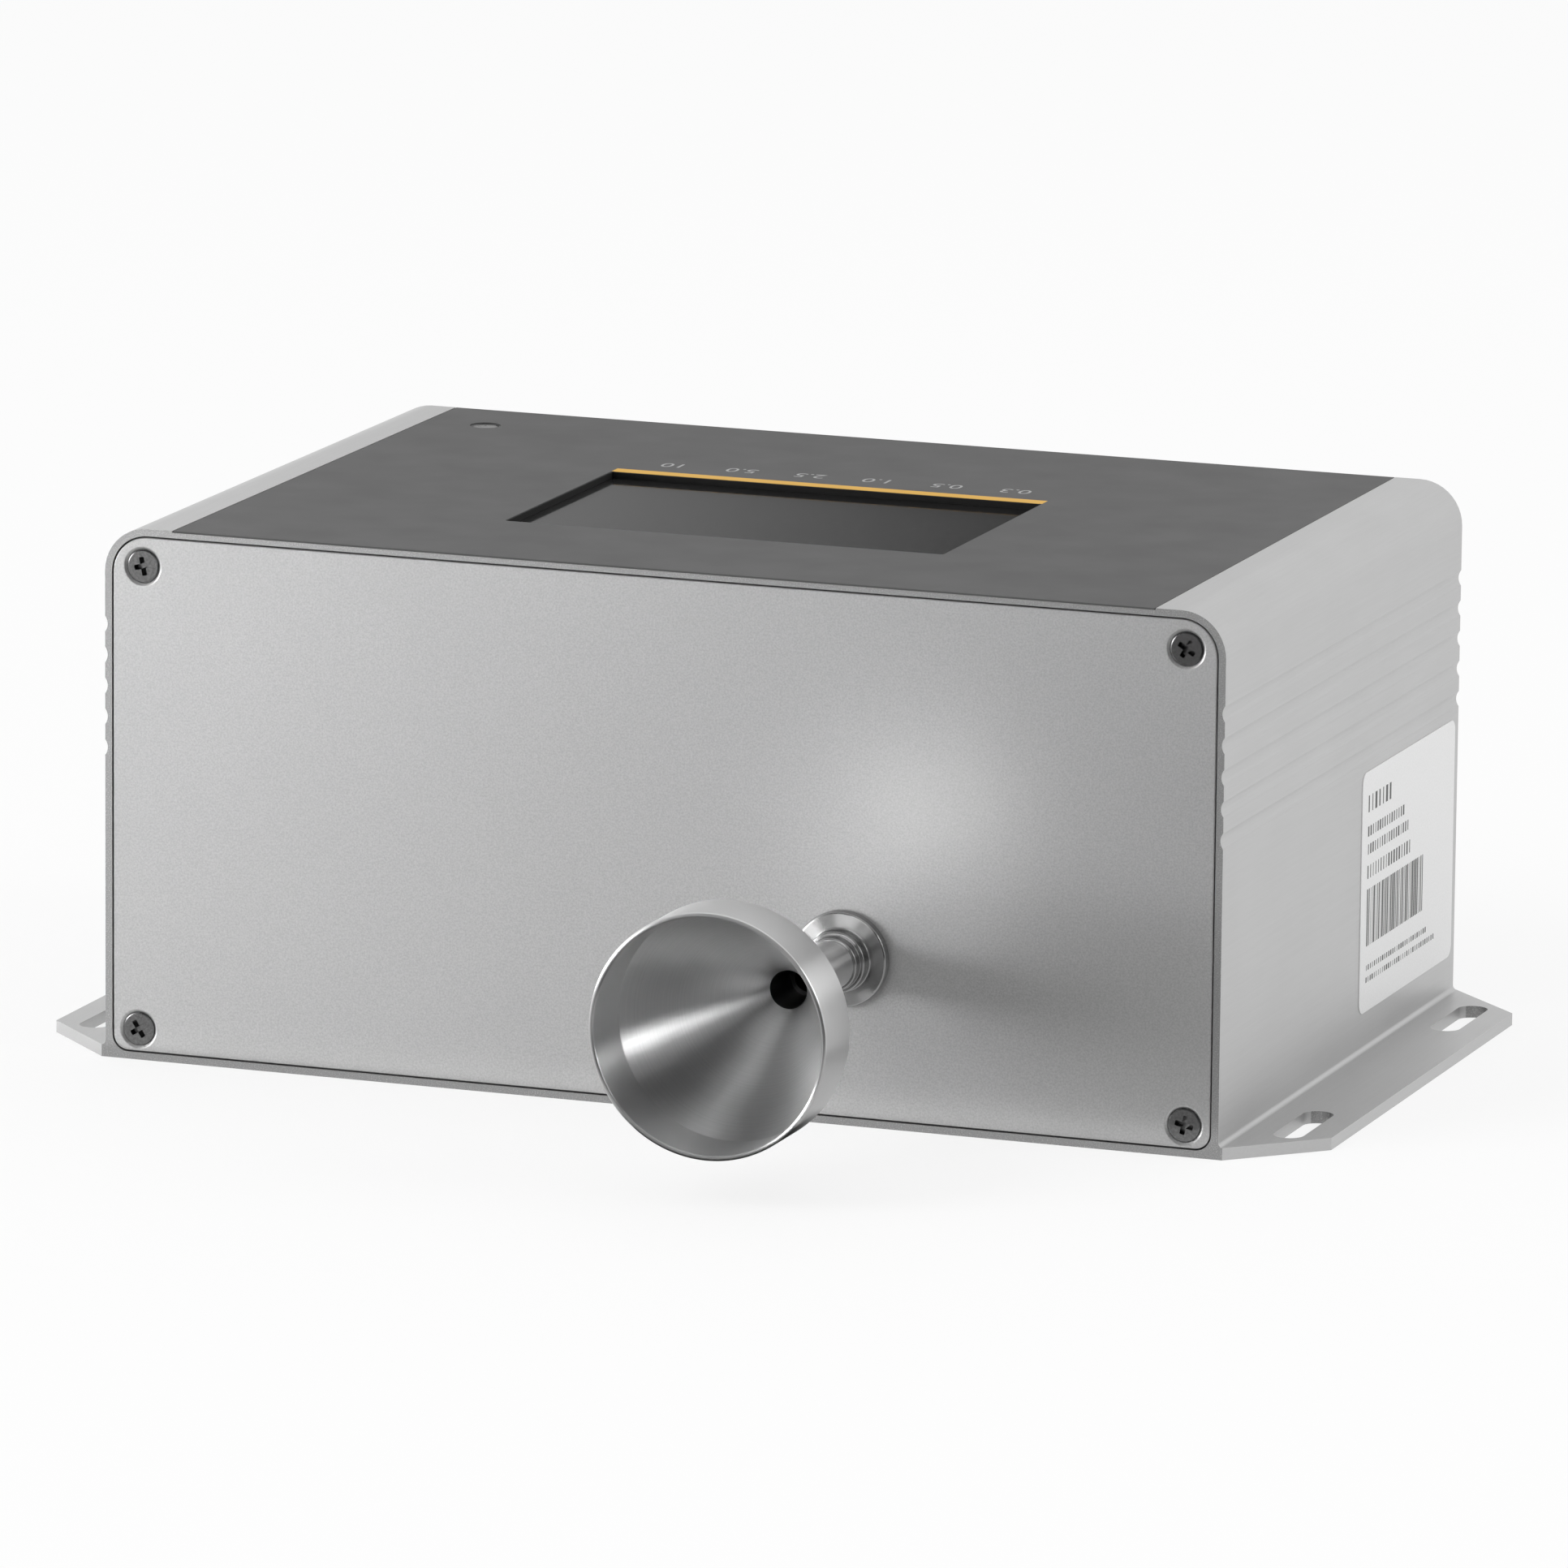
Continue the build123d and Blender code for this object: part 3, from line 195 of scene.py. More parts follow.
# %% World and floor
def seen_directly(tree):
    """1 for camera, glossy and transmission rays, 0 for the others."""
    rays = node(tree, "ShaderNodeLightPath")
    pair = math_node(tree, "MAXIMUM", rays.outputs["Is Camera Ray"], rays.outputs["Is Glossy Ray"])
    return math_node(tree, "MAXIMUM", pair, rays.outputs["Is Transmission Ray"])


room = bpy.data.worlds.new("plain_room")
room.use_nodes = True
bpy.context.scene.world = room
air = room.node_tree
glow_level = node(
    air, "ShaderNodeMapRange", {"Value": seen_directly(air), "To Min": 0.8, "To Max": 1.0}
).outputs[0]
air.links.new(glow_level, air.nodes["Background"].inputs["Strength"])
air.nodes["Background"].inputs["Color"].default_value = (1, 1, 1, 1)

paper = bpy.data.materials.new("studio_paper")
paper.use_nodes = True
sheet_tree = paper.node_tree
sheet_tree.nodes.clear()
matt = node(sheet_tree, "ShaderNodeBsdfDiffuse", {"Color": (0.86, 0.86, 0.86, 1)})
even = node(sheet_tree, "ShaderNodeEmission", {"Color": (1, 1, 1, 1), "Strength": 1.0})
share = node(
    sheet_tree, "ShaderNodeMapRange", {"Value": seen_directly(sheet_tree), "To Min": 0.0, "To Max": 0.8}
).outputs[0]
blend = node(sheet_tree, "ShaderNodeMixShader", {0: share, 1: matt.outputs[0], 2: even.outputs[0]})
node(sheet_tree, "ShaderNodeOutputMaterial", {"Surface": blend.outputs[0]})


def flat_card(name, corners, material):
    """A four-cornered board of the stage."""
    mesh = bpy.data.meshes.new(name)
    mesh.from_pydata([Vector(c) for c in corners], [], [(0, 1, 2, 3)])
    mesh.materials.append(material)
    board = linked(name, mesh)
    return board


reach = 6
corners = [(-reach, -reach, 0), (reach, -reach, 0), (reach, reach, 0), (-reach, reach, 0)]
floor = flat_card("floor", corners, paper)
print("floor at z", floor.data.vertices[0].co.z)

# %% Cards that only the metal sees
def reflected_card(name, corners, start, end=None, axis=0):
    """A card seen only in reflections: one even tone, or a slow change from start to end along one axis."""
    material = bpy.data.materials.new(name)
    material.use_nodes = True
    tree = material.node_tree
    tree.nodes.clear()
    where = node(tree, "ShaderNodeTexCoord").outputs["Object"]
    along = node(tree, "ShaderNodeSeparateXYZ", {0: where}).outputs[axis]
    low, high = min(c[axis] for c in corners), max(c[axis] for c in corners)
    end = start if end is None else end
    change = {"Value": along, "From Min": low, "From Max": high, "To Min": start, "To Max": end}
    level = node(tree, "ShaderNodeMapRange", change, interpolation_type="SMOOTHSTEP").outputs[0]
    light = node(tree, "ShaderNodeEmission", {"Color": (1, 1, 1, 1), "Strength": level})
    node(tree, "ShaderNodeOutputMaterial", {"Surface": light.outputs[0]})
    board = flat_card(name, corners, material)
    board.visible_camera = board.visible_diffuse = board.visible_shadow = False
    return board


def upright(left, right_end, z_low, z_high):
    """The corners of a card that stands on a line between two places on the bench."""
    return [(*left, z_low), (*right_end, z_low), (*right_end, z_high), (*left, z_high)]


def card_round_inlet(name, azimuth, distance, wide, z_low, z_high, level):
    """A card that stands round the inlet at an angle from straight ahead, facing it."""
    a, middle = math.radians(azimuth), Vector((0.032, -0.11))
    out, side = Vector((math.sin(a), -math.cos(a))), Vector((math.cos(a), math.sin(a)))
    foot = middle + out * distance
    return reflected_card(name, upright(foot - side * wide / 2, foot + side * wide / 2, z_low, z_high), level)


def oblong(x_low, x_high, y_low, y_high):
    """The four corners of a rectangle, in order."""
    return [(x_low, y_low), (x_high, y_low), (x_high, y_high), (x_low, y_high)]


def cloth(name, corners, start, end=None, lift=0.003):
    """A card that lies on the bench. The higher of two that overlap is the one that is seen."""
    return reflected_card(name, [(x, y, lift) for x, y in corners], start, end)


black, dim = 0.01, 0.04
# Behind the bench, just where the display's glass looks: lighter on the left.
reflected_card("card_behind", upright((-0.57, 1.2), (-0.32, 1.2), 0.24, 0.48), 0.46, 0.06)
# In front, above the bench: a dim wall, so that polished steel has something dark to show.
reflected_card("card_front_high", upright((-1.6, -1.4), (2.4, -1.4), 0.34, 2.6), dim)
# On the right, dark from the bench up, and along the bench a cloth that darkens towards the right. Its
# near edge is lighter, because the lower half of the front panel looks there.
card_round_inlet("card_right", 40, 0.8, 1.0, 0.0, 0.9, black)
left_edge, middle_line, right_edge = -0.24, 0.14, 1.4
far, turn_line, near = -1.3, -0.2, -0.068
cloth("cloth_far", oblong(left_edge, middle_line, far, turn_line), 1.0, dim)
cloth("cloth_far_right", oblong(middle_line, right_edge, far, turn_line), dim)
cloth("cloth_near", oblong(left_edge, middle_line, turn_line, near), 1.0, 0.5)
cloth("cloth_near_right", oblong(middle_line, right_edge, turn_line, near), 0.62)
# A dark wedge below the inlet draws the thin dark line beside the funnel's light fan.
wedge = [(-0.055, -0.45), (0.015, -0.45), (0.02, -0.13), (0.006, -0.13)]
cloth("cloth_wedge", wedge, black, lift=0.0035)
# A patch below the funnel's mouth darkens the lower right of its cone, which sees it by two bounces.
cloth("cloth_patch", oblong(0.012, 0.052, -0.2, -0.1), black, lift=0.004)
# A long low strip of light on the left draws the fan down the funnel.
card_round_inlet("strip_left", -64, 0.9, 1.0, 0.05, 0.21, 14.0)

# %% Lamps
def aim(lamp, place, target):
    lamp.location = place
    lamp.rotation_euler = (Vector(target) - Vector(place)).to_track_quat("-Z", "Y").to_euler()


def soft_lamp(name, place, size, power, shown_in_metal=True):
    """A round area lamp that looks at the counter."""
    light = bpy.data.lights.new(name, "AREA")
    light.shape, light.size, light.energy = "DISK", size, power
    lamp = linked(name, light)
    aim(lamp, place, (0, 0, 0.04))
    lamp.visible_camera = False
    lamp.visible_glossy = shown_in_metal


soft_lamp("key_lamp", (-1.5, -1.8, 1.9), 1.4, 26, shown_in_metal=False)
# The polished fitting throws a little light back on the panel above it.
thrown = bpy.data.lights.new("thrown_light", "SPOT")
thrown.energy, thrown.shadow_soft_size = 0.012, 0.01
thrown.spot_size, thrown.spot_blend = math.radians(120), 1.0
aim(linked("thrown_light", thrown), (0.034, -0.104, 0.043), (0.03, -0.062, 0.04))
soft_lamp("side_lamp", (2.2, 0.2, 1.2), 1.2, 12)

# %% [markdown]
# ## Aluminium
# Two finishes share one metal. The drawn housing is etched and anodised: even, satin, with faint lines
# along the direction in which it left the die. Its cut ends are saw cuts: darker, and nicked all over.
# The panels are bead blasted, which leaves a fine sparkle with no direction at all.

# %% Anodised housing and blasted panels
def anodised_housing():
    material, tree, shader = start_finish("anodised_aluminium", grey(188), 0.8, 0.44, 0.4)
    drawn = grain(tree, 3.2, 2, (1, 0.02, 1))
    cloud = grain(tree, 0.05, 2)
    pores = grain(tree, 6, 2)
    face = node(tree, "ShaderNodeNewGeometry")
    split = node(tree, "ShaderNodeSeparateXYZ", {0: face.outputs["Normal"]})
    # The cut ends are the faces that look along Y.
    cut_end = math_node(tree, "GREATER_THAN", math_node(tree, "ABSOLUTE", split.outputs[1]), 0.72)
    saw = grain(tree, 4.5, 3, (1, 1, 1.6))
    body = mix_colour(tree, between(tree, drawn, 0, 1), grey(187), grey(190))
    ends = mix_colour(tree, between(tree, saw, 0, 1, 0.5, 0.72), grey(146), grey(186))
    paint(tree, shader, mix_colour(tree, cut_end, body, ends))
    cloudy, pored = between(tree, cloud, 0.41, 0.47), between(tree, pores, -0.02, 0.02)
    set_rough(tree, shader, math_node(tree, "ADD", cloudy, pored))
    shallow, sawn = math_node(tree, "MULTIPLY", pores, 0.35), math_node(tree, "MULTIPLY", saw, cut_end)
    raise_grain(tree, shader, math_node(tree, "ADD", shallow, sawn), 0.004, 0.4)
    return material


def blasted_panel():
    material, tree, shader = start_finish("blasted_aluminium", grey(177), 0.82, 0.46, 0.4)
    sparkle = grain(tree, 3.4, 3)
    spread = grain(tree, 0.035, 3)
    beads = node(tree, "ShaderNodeTexVoronoi", {"Vector": place_on(tree), "Scale": 4.2}).outputs["Distance"]
    tint(tree, shader, sparkle, grey(167), grey(186))
    wide, close = between(tree, spread, 0.43, 0.5), between(tree, sparkle, -0.05, 0.05)
    set_rough(tree, shader, math_node(tree, "ADD", wide, close))
    raise_grain(tree, shader, math_node(tree, "ADD", beads, sparkle), 0.008, 0.45)
    return material


aluminium, blasted = anodised_housing(), blasted_panel()
print("metals", aluminium.name, blasted.name)

# %% [markdown]
# ## Eased edges
# No real edge is perfectly sharp: a thin line of light along each one is what makes a box look
# machined. The solids' meshes can't be touched, so each shell is copied, its loose triangles are
# joined into whole faces, and a Bevel rounds the edges that are sharp by a fraction of a millimetre.

# %% A copy of a solid with eased edges
def give_piece(name, mesh, material, slot, body, *nodes):
    """Put a finished mesh in the scene: its finish, its body and the solids that it stands for."""
    mesh.materials.clear()
    mesh.materials.append(material)
    piece = linked(name, mesh)
    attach(piece, body)
    if nodes:
        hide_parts(*nodes)
    print(name, len(mesh.polygons), "faces")


def settled(mesh, sharp=35):
    """Shade smooth, except over edges that turn more than this many degrees."""
    mesh.shade_smooth()
    mesh.set_sharp_from_angle(angle=math.radians(sharp))
    return mesh


def evaluated_copy(helper, name):
    """The mesh that an object shows after its modifiers, as plain data."""
    scene_graph = bpy.context.evaluated_depsgraph_get()
    mesh = bpy.data.meshes.new_from_object(helper.evaluated_get(scene_graph))
    bpy.data.objects.remove(helper)
    mesh.name = name
    return mesh


def as_mesh(shell, name):
    """Turn an edited bmesh into plain data, and free it."""
    mesh = bpy.data.meshes.new(name)
    shell.to_mesh(mesh)
    shell.free()
    return mesh


weld = 0.001 * mm


def eased(node_name, name, ease_mm, material, slot, lower_mm=0.0):
    """Copy a solid, round its sharp edges a little and, if asked, lower its top face."""
    flat_within, sharp_from, top_face = math.radians(0.6), 40, 0.01 * mm
    shell = bmesh.new()
    shell.from_mesh(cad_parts[node_name].data)
    bmesh.ops.remove_doubles(shell, verts=shell.verts, dist=weld)
    bmesh.ops.dissolve_limit(
        shell, angle_limit=flat_within, verts=shell.verts, edges=shell.edges, use_dissolve_boundaries=False
    )
    top = max(v.co.z for v in shell.verts)
    for v in shell.verts:
        if lower_mm and v.co.z > top - top_face:
            v.co.z -= lower_mm * mm
    helper = linked("easing", settled(as_mesh(shell, name), sharp_from))
    ease = helper.modifiers.new("ease", "BEVEL")
    ease.width, ease.segments = ease_mm * mm, 2
    ease.limit_method, ease.angle_limit = "ANGLE", math.radians(sharp_from)
    # Wide faces keep their own direction, so that only the eased strips turn the light.
    level_faces = helper.modifiers.new("level_faces", "WEIGHTED_NORMAL")
    level_faces.weight, level_faces.keep_sharp = 100, True
    give_piece(name, evaluated_copy(helper, name), material, slot, "counter", node_name)


eased("housing_extrusion", "housing_shell", 0.14, aluminium, "anodised_housing")
eased("front_panel", "front_plate", 0.16, blasted, "blasted_panel")
eased("rear_panel", "rear_plate", 0.16, blasted, "blasted_panel")

# %% [markdown]
# ## The top film
# A polyester film covers the middle of the roof, with a window left clear for the display. Its print is
# under the film, so here it is part of the finish: an amber line along one side of the window. The film
# is matt, with the leather-fine texture that hides scratches.

# %% Film with its printed line
window_low, window_high = Vector((-37.75, -32.3, 0)), Vector((37.75, 16.1, 0))
stripe_wide = 2.8


def inside(tree, value, low, high):
    """1 where a value lies between two limits, 0 elsewhere."""
    above, below = math_node(tree, "GREATER_THAN", value, low), math_node(tree, "LESS_THAN", value, high)
    return math_node(tree, "MULTIPLY", above, below)


def grey_film():
    material, tree, shader = start_finish("matt_film", grey(80), 0.0, 0.5, 0.25)
    fine = grain(tree, 5.5, 3)
    cloud = grain(tree, 0.08, 2)
    where = node(tree, "ShaderNodeSeparateXYZ", {0: place_on(tree)})
    in_x = inside(tree, where.outputs[0], window_low.x, window_high.x)
    in_y = inside(tree, where.outputs[1], window_high.y, window_high.y + stripe_wide)
    stripe = math_node(tree, "MULTIPLY", in_x, in_y)
    ground = mix_colour(tree, between(tree, fine, 0, 1), grey(69), grey(80))
    paint(tree, shader, mix_colour(tree, stripe, ground, rgb(214, 166, 66)))
    wide, close = between(tree, cloud, 0.5, 0.56), between(tree, fine, -0.03, 0.03)
    set_rough(tree, shader, math_node(tree, "ADD", wide, close))
    raise_grain(tree, shader, fine, 0.01, 0.6)
    return material


film_finish = grey_film()
# The film's face is lowered by this much, so that its print stays within the solids' box.
print_lift = 0.015
eased("top_film", "film_sheet", 0.04, film_finish, "grey_film", lower_mm=print_lift)

# %% [markdown]
# ## Turned steel
# The funnel, the fitting behind it and the outlet barb come off a lathe: one profile, turned about one
# line. Geometry Nodes say that directly. A grid has one row for each point of the profile and one
# column for each step around, and every grid point looks up its own radius and place. Changing a
# profile changes the piece, and no face is ever drawn by hand.

# %% A lathe in Geometry Nodes
def open_group(name, sockets):
    """A Geometry Nodes tree with named inputs, and the identifier of each."""
    tree = bpy.data.node_groups.new(name, "GeometryNodeTree")
    keys = {
        label: tree.interface.new_socket(name=label, in_out="INPUT", socket_type=kind).identifier
        for label, kind in sockets.items()
    }
    tree.interface.new_socket(name="Result", in_out="OUTPUT", socket_type="NodeSocketGeometry")
    return tree, keys, node(tree, "NodeGroupInput").outputs


def close_group(tree, geometry, finish):
    """Real geometry and its finish, which is how every tree here ends."""
    real = node(tree, "GeometryNodeRealizeInstances", {"Geometry": geometry})
    dressed = node(tree, "GeometryNodeSetMaterial", {"Geometry": real.outputs[0], "Material": finish})
    node(tree, "NodeGroupOutput", {0: dressed.outputs[0]})


def lathe_group():
    tree, keys, given = open_group("lathe_along_y", {
        "Profile": "NodeSocketGeometry", "Points": "NodeSocketInt", "Steps": "NodeSocketInt",
        "Axis X": "NodeSocketFloat", "Axis Z": "NodeSocketFloat", "Finish": "NodeSocketMaterial",
    })
    rows_and_steps = {"Vertices X": given["Points"], "Vertices Y": given["Steps"]}
    sheet = node(tree, "GeometryNodeMeshGrid", rows_and_steps)
    position = node(tree, "GeometryNodeInputPosition").outputs[0]
    spot = node(tree, "ShaderNodeSeparateXYZ", {0: position})
    last = math_node(tree, "SUBTRACT", given["Points"], 1.0)
    row = math_node(tree, "MULTIPLY", math_node(tree, "ADD", spot.outputs[0], 0.5), last)
    index = node(tree, "FunctionNodeFloatToInt", {0: row}, rounding_mode="ROUND").outputs[0]
    wanted = {"Geometry": given["Profile"], "Value": position, "Index": index}
    read = node(tree, "GeometryNodeSampleIndex", wanted, data_type="FLOAT_VECTOR")
    point = node(tree, "ShaderNodeSeparateXYZ", {0: read.outputs[0]})
    turn = math_node(tree, "MULTIPLY", math_node(tree, "ADD", spot.outputs[1], 0.5), math.tau)
    out_x = math_node(tree, "MULTIPLY", point.outputs[1], math_node(tree, "SINE", turn))
    out_z = math_node(tree, "MULTIPLY", point.outputs[1], math_node(tree, "COSINE", turn))
    place = node(tree, "ShaderNodeCombineXYZ", {
        0: math_node(tree, "ADD", out_x, given["Axis X"]), 1: point.outputs[0],
        2: math_node(tree, "ADD", out_z, given["Axis Z"]),
    })
    shift = {"Geometry": sheet.outputs[0], "Position": place.outputs[0]}
    moved = node(tree, "GeometryNodeSetPosition", shift).outputs[0]
    closed = node(tree, "GeometryNodeMergeByDistance", {"Geometry": moved, "Distance": 2 * weld})
    close_group(tree, closed.outputs[0], given["Finish"])
    return tree, keys


def grown(name, seed_mesh, group, **inputs):
    """Run a Geometry Nodes tree on a mesh, with its named inputs, and keep the result as plain data."""
    helper = linked("growing", seed_mesh)
    work = helper.modifiers.new("grow", "NODES")
    work.node_group, keys = group
    for label, value in inputs.items():
        key = keys[label.replace("_", " ")]
        if isinstance(value, tuple):
            for i, part in enumerate(value):
                work[key][i] = part
        else:
            work[key] = value
    return evaluated_copy(helper, name)


lathe = lathe_group()
print("the lathe's inputs", list(lathe[1]))


def rounded(points, radius_for, steps=5):
    """A closed profile with chosen corners rounded. Points are (place along Y, radius) in millimetres."""
    out = []
    for i, corner in enumerate(points):
        here = Vector(corner)
        r = radius_for.get(i, 0)
        if not r:
            out.append(here)
            continue
        back = (Vector(points[i - 1]) - here).normalized()
        ahead = (Vector(points[(i + 1) % len(points)]) - here).normalized()
        half = back.angle(ahead) / 2
        reach = r / math.tan(half)
        centre = here + (back + ahead).normalized() * (r / math.sin(half))
        first, final = here + back * reach - centre, here + ahead * reach - centre
        for k in range(steps + 1):
            mixed = first.lerp(final, k / steps).normalized() * r
            out.append(centre + mixed)
    return out


def turned(name, profile, axis_x, axis_z, steps, material, slot, node_name, sharp=28):
    """Turn a closed profile about a line along Y and stand it in for its solid."""
    ring = [(p.x * mm, p.y * mm, 0) for p in (*profile, profile[0])]
    mesh = bpy.data.meshes.new(name + "_profile")
    mesh.from_pydata(ring, [(i, i + 1) for i in range(len(ring) - 1)], [])
    made = grown(
        name, mesh, lathe,
        Points=len(ring), Steps=steps + 1, Axis_X=axis_x * mm, Axis_Z=axis_z * mm, Finish=material,
    )
    shell = bmesh.new()
    shell.from_mesh(made)
    bmesh.ops.remove_doubles(shell, verts=shell.verts, dist=2 * weld)
    bmesh.ops.recalc_face_normals(shell, faces=shell.faces)
    shell.to_mesh(made)
    shell.free()
    give_piece(name, settled(made, sharp), material, slot, "counter", node_name)


# %% [markdown]
# ## Polished steel
# A lathe leaves fine rings, and polishing thins them but keeps their direction. Light then spreads
# across the rings and not along them, which draws the bright fans on every turned face. The shader's
# anisotropy needs that direction: it is square to both the axis and the line out to the point.

# %% Turned and polished finish
def turned_steel(name, axis_x, axis_z, level, rough, anisotropy, ring_depth, shaded_bore_radius):
    # The tangent follows the rings, and a quarter turn spreads the light across them.
    across = {"Anisotropic": anisotropy, "Anisotropic Rotation": 0.25}
    material, tree, shader = start_finish(name, grey(level), 1.0, rough, 0.5, **across)
    where = node(tree, "ShaderNodeTexCoord").outputs["Object"]
    centre, lathe_axis = (axis_x * mm, 0, axis_z * mm), (0, 1, 0)
    out = node(tree, "ShaderNodeVectorMath", {0: where, 1: centre}, operation="SUBTRACT").outputs[0]
    around = node(tree, "ShaderNodeVectorMath", {0: out, 1: lathe_axis}, operation="CROSS_PRODUCT").outputs[0]
    along = node(tree, "ShaderNodeVectorMath", {0: around}, operation="NORMALIZE").outputs[0]
    tree.links.new(along, shader.inputs["Tangent"])
    parts = node(tree, "ShaderNodeSeparateXYZ", {0: out})
    flat = node(tree, "ShaderNodeCombineXYZ", {0: parts.outputs[0], 1: parts.outputs[2]})
    radius = node(tree, "ShaderNodeVectorMath", {0: flat.outputs[0]}, operation="LENGTH").outputs["Value"]
    steps = math_node(tree, "MULTIPLY", math_node(tree, "ADD", radius, parts.outputs[1]), 1000)
    rings = node(tree, "ShaderNodeTexNoise", {"W": steps, "Scale": 9.0, "Detail": 3.0}, noise_dimensions="1D")
    set_rough(tree, shader, between(tree, grain(tree, 0.12, 2), rough * 0.94, rough * 1.06))
    polished = mix_colour(tree, between(tree, rings.outputs["Fac"], 0, 1), grey(level - 4), grey(level + 3))
    # Inside the bore the steel is painted dark grey: painted shade in the hole.
    bore_painted_shade = math_node(tree, "LESS_THAN", radius, shaded_bore_radius * mm)
    paint(tree, shader, mix_colour(tree, bore_painted_shade, polished, grey(70)))
    raise_grain(tree, shader, rings.outputs["Fac"], ring_depth, 0.5)
    return material


inlet_x, inlet_z = 32.2, 27.4
# For each: its tone, its roughness, how much light spreads across the rings, their depth, and the radius of
# the bore, inside which shade is painted.
funnel_steel = turned_steel("funnel_steel", inlet_x, inlet_z, 224, 0.3, 0.98, 0.0002, 3.12)
fitting_steel = turned_steel("inlet_fitting_steel", inlet_x, inlet_z, 168, 0.24, 0.97, 0.0003, 3.12)
print("steels", funnel_steel.name, fitting_steel.name)

# %% Funnel and inlet fitting
mouth, mouth_r, bore_r, straight = -124.0, 19.7, 18.85, 10.8
throat, throat_r, neck_r, seat = -87.3, 3.1, 3.9, -68.15
slope = (bore_r - throat_r) / (throat - mouth - straight)
neck = mouth + straight + (mouth_r - neck_r) / slope
funnel_profile = rounded(
    [(mouth, bore_r), (mouth + straight, bore_r), (throat, throat_r), (seat, throat_r),
     (seat, neck_r), (neck, neck_r), (mouth + straight, mouth_r), (mouth, mouth_r)],
    {0: 0.36, 1: 0.9, 2: 0.5, 4: 0.15, 5: 1.4, 6: 1.2, 7: 0.36},
)
turned("funnel", funnel_profile, inlet_x, inlet_z, 192, funnel_steel, "probe_steel", "funnel_probe")

fitting_profile = rounded(
    [(-78.15, 2.3), (-78.15, 3.05), (-68.15, 3.05), (-68.15, 4.4), (-66.25, 4.4), (-66.25, 5.05),
     (-63.8, 5.05), (-63.8, 7.8), (-62.0, 7.8), (-62.0, 4.0), (-54.0, 4.0), (-54.0, 3.2), (-49.0, 3.2),
     (-49.0, 2.3)],
    {3: 0.3, 4: 0.1, 5: 0.3, 6: 0.25, 7: 0.4, 8: 0.15},
)
turned(
    "inlet_fitting_turned", fitting_profile, inlet_x, inlet_z, 96, fitting_steel, "fitting_steel",
    "inlet_fitting",
)

# %% Outlet barb
outlet_x, outlet_z = 59.0, 67.45
barb_steel = turned_steel("outlet_fitting_steel", outlet_x, outlet_z, 198, 0.34, 0.9, 0.001, 2.4)
low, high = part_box("exhaust_fitting")
first, final = low.y * 1000, high.y * 1000
stem_r, barb_r, barb_long, first_barb = 3.2, 3.9, 3.2, 67.2
barbs = []
for start in (first_barb + barb_long * count for count in range(3)):
    barbs += [(start, barb_r), (start + barb_long, stem_r)]
outlet_profile = [
    (first, 2.3), (first, stem_r), (55.0, stem_r), (55.0, 4.0), (62.0, 4.0), (62.0, 7.0), (64.0, 7.0),
    (64.0, stem_r), (first_barb, stem_r), *barbs, (final, 2.3),
]
turned(
    "outlet_fitting_turned", rounded(outlet_profile, {5: 0.2, 6: 0.35}), outlet_x, outlet_z, 72, barb_steel,
    "fitting_steel", "exhaust_fitting",
)
print("outlet fitting from", round(first, 2), "to", round(final, 2))

# %% [markdown]
# ## Panel screws
# Eight countersunk screws hold the two panels. One is modelled: an eased rim, a cone, a thread length
# and a cross pressed into the head. Geometry Nodes then put a copy at each corner, turned as a
# screwdriver left it, which is never the same twice.

# %% One screw
def screw_mesh():
    half_long, half_wide, deep, draw, blunt_x, blunt_y = 1.55, 0.43, 1.3, 0.17, 0.12, 0.14
    arm = [
        (half_wide, half_wide), (half_long - blunt_x, half_wide), (half_long, half_wide - blunt_y),
        (half_long, blunt_y - half_wide), (half_long - blunt_x, -half_wide),
    ]
    outline = []
    for quarter in range(4):
        c, s = math.cos(quarter * math.pi / 2), math.sin(quarter * math.pi / 2)
        outline += [(c * x - s * y, s * x + c * y) for x, y in arm]
    # The corner at the crossing comes once for each quarter, so the outline runs round the cross.
    outline.sort(key=lambda p: math.atan2(p[1], p[0]))
    steel = bmesh.new()

    def loop(points, z):
        ring = [steel.verts.new((x * mm, y * mm, z * mm)) for x, y in points]
        edges = [steel.edges.new((a, b)) for a, b in zip(ring, ring[1:] + ring[:1])]
        return ring, edges

    def join(upper, under):
        for i in range(len(upper)):
            k = (i + 1) % len(upper)
            steel.faces.new((upper[i], upper[k], under[k], under[i]))

    around = [(math.cos(a), math.sin(a)) for a in (math.tau * i / 48 for i in range(48))]
    rings = [loop([(r * x, r * y) for x, y in around], z)
             for r, z in ((2.5, 0), (2.66, -0.05), (2.74, -0.15), (2.75, -0.25), (1.5, -1.5), (1.5, -10))]
    for a, b in zip(rings, rings[1:]):
        join(a[0], b[0])
    steel.faces.new(rings[-1][0])
    mouth_loop = loop(outline, 0)
    shrink = 1 - draw / half_long
    foot_loop = loop([(x * shrink, y * shrink) for x, y in outline], -deep)
    join(mouth_loop[0], foot_loop[0])
    steel.faces.new(foot_loop[0])
    bmesh.ops.triangle_fill(steel, edges=rings[0][1] + mouth_loop[1], use_beauty=True)
    bmesh.ops.recalc_face_normals(steel, faces=steel.faces)
    return as_mesh(steel, "panel_screw")


def screw_steel():
    material, tree, shader = start_finish("plated_screw_steel", grey(108), 1.0, 0.22, 0.5)
    worn = grain(tree, 2.2, 4)
    fine = grain(tree, 9, 2)
    tint(tree, shader, worn, grey(96), grey(118))
    set_rough(tree, shader, between(tree, worn, 0.26, 0.2))
    raise_grain(tree, shader, fine, 0.006, 0.5)
    return material


screw_finish = screw_steel()
one_screw = bpy.data.objects.new("one_screw", screw_mesh())
print("one screw has", len(one_screw.data.polygons), "faces")

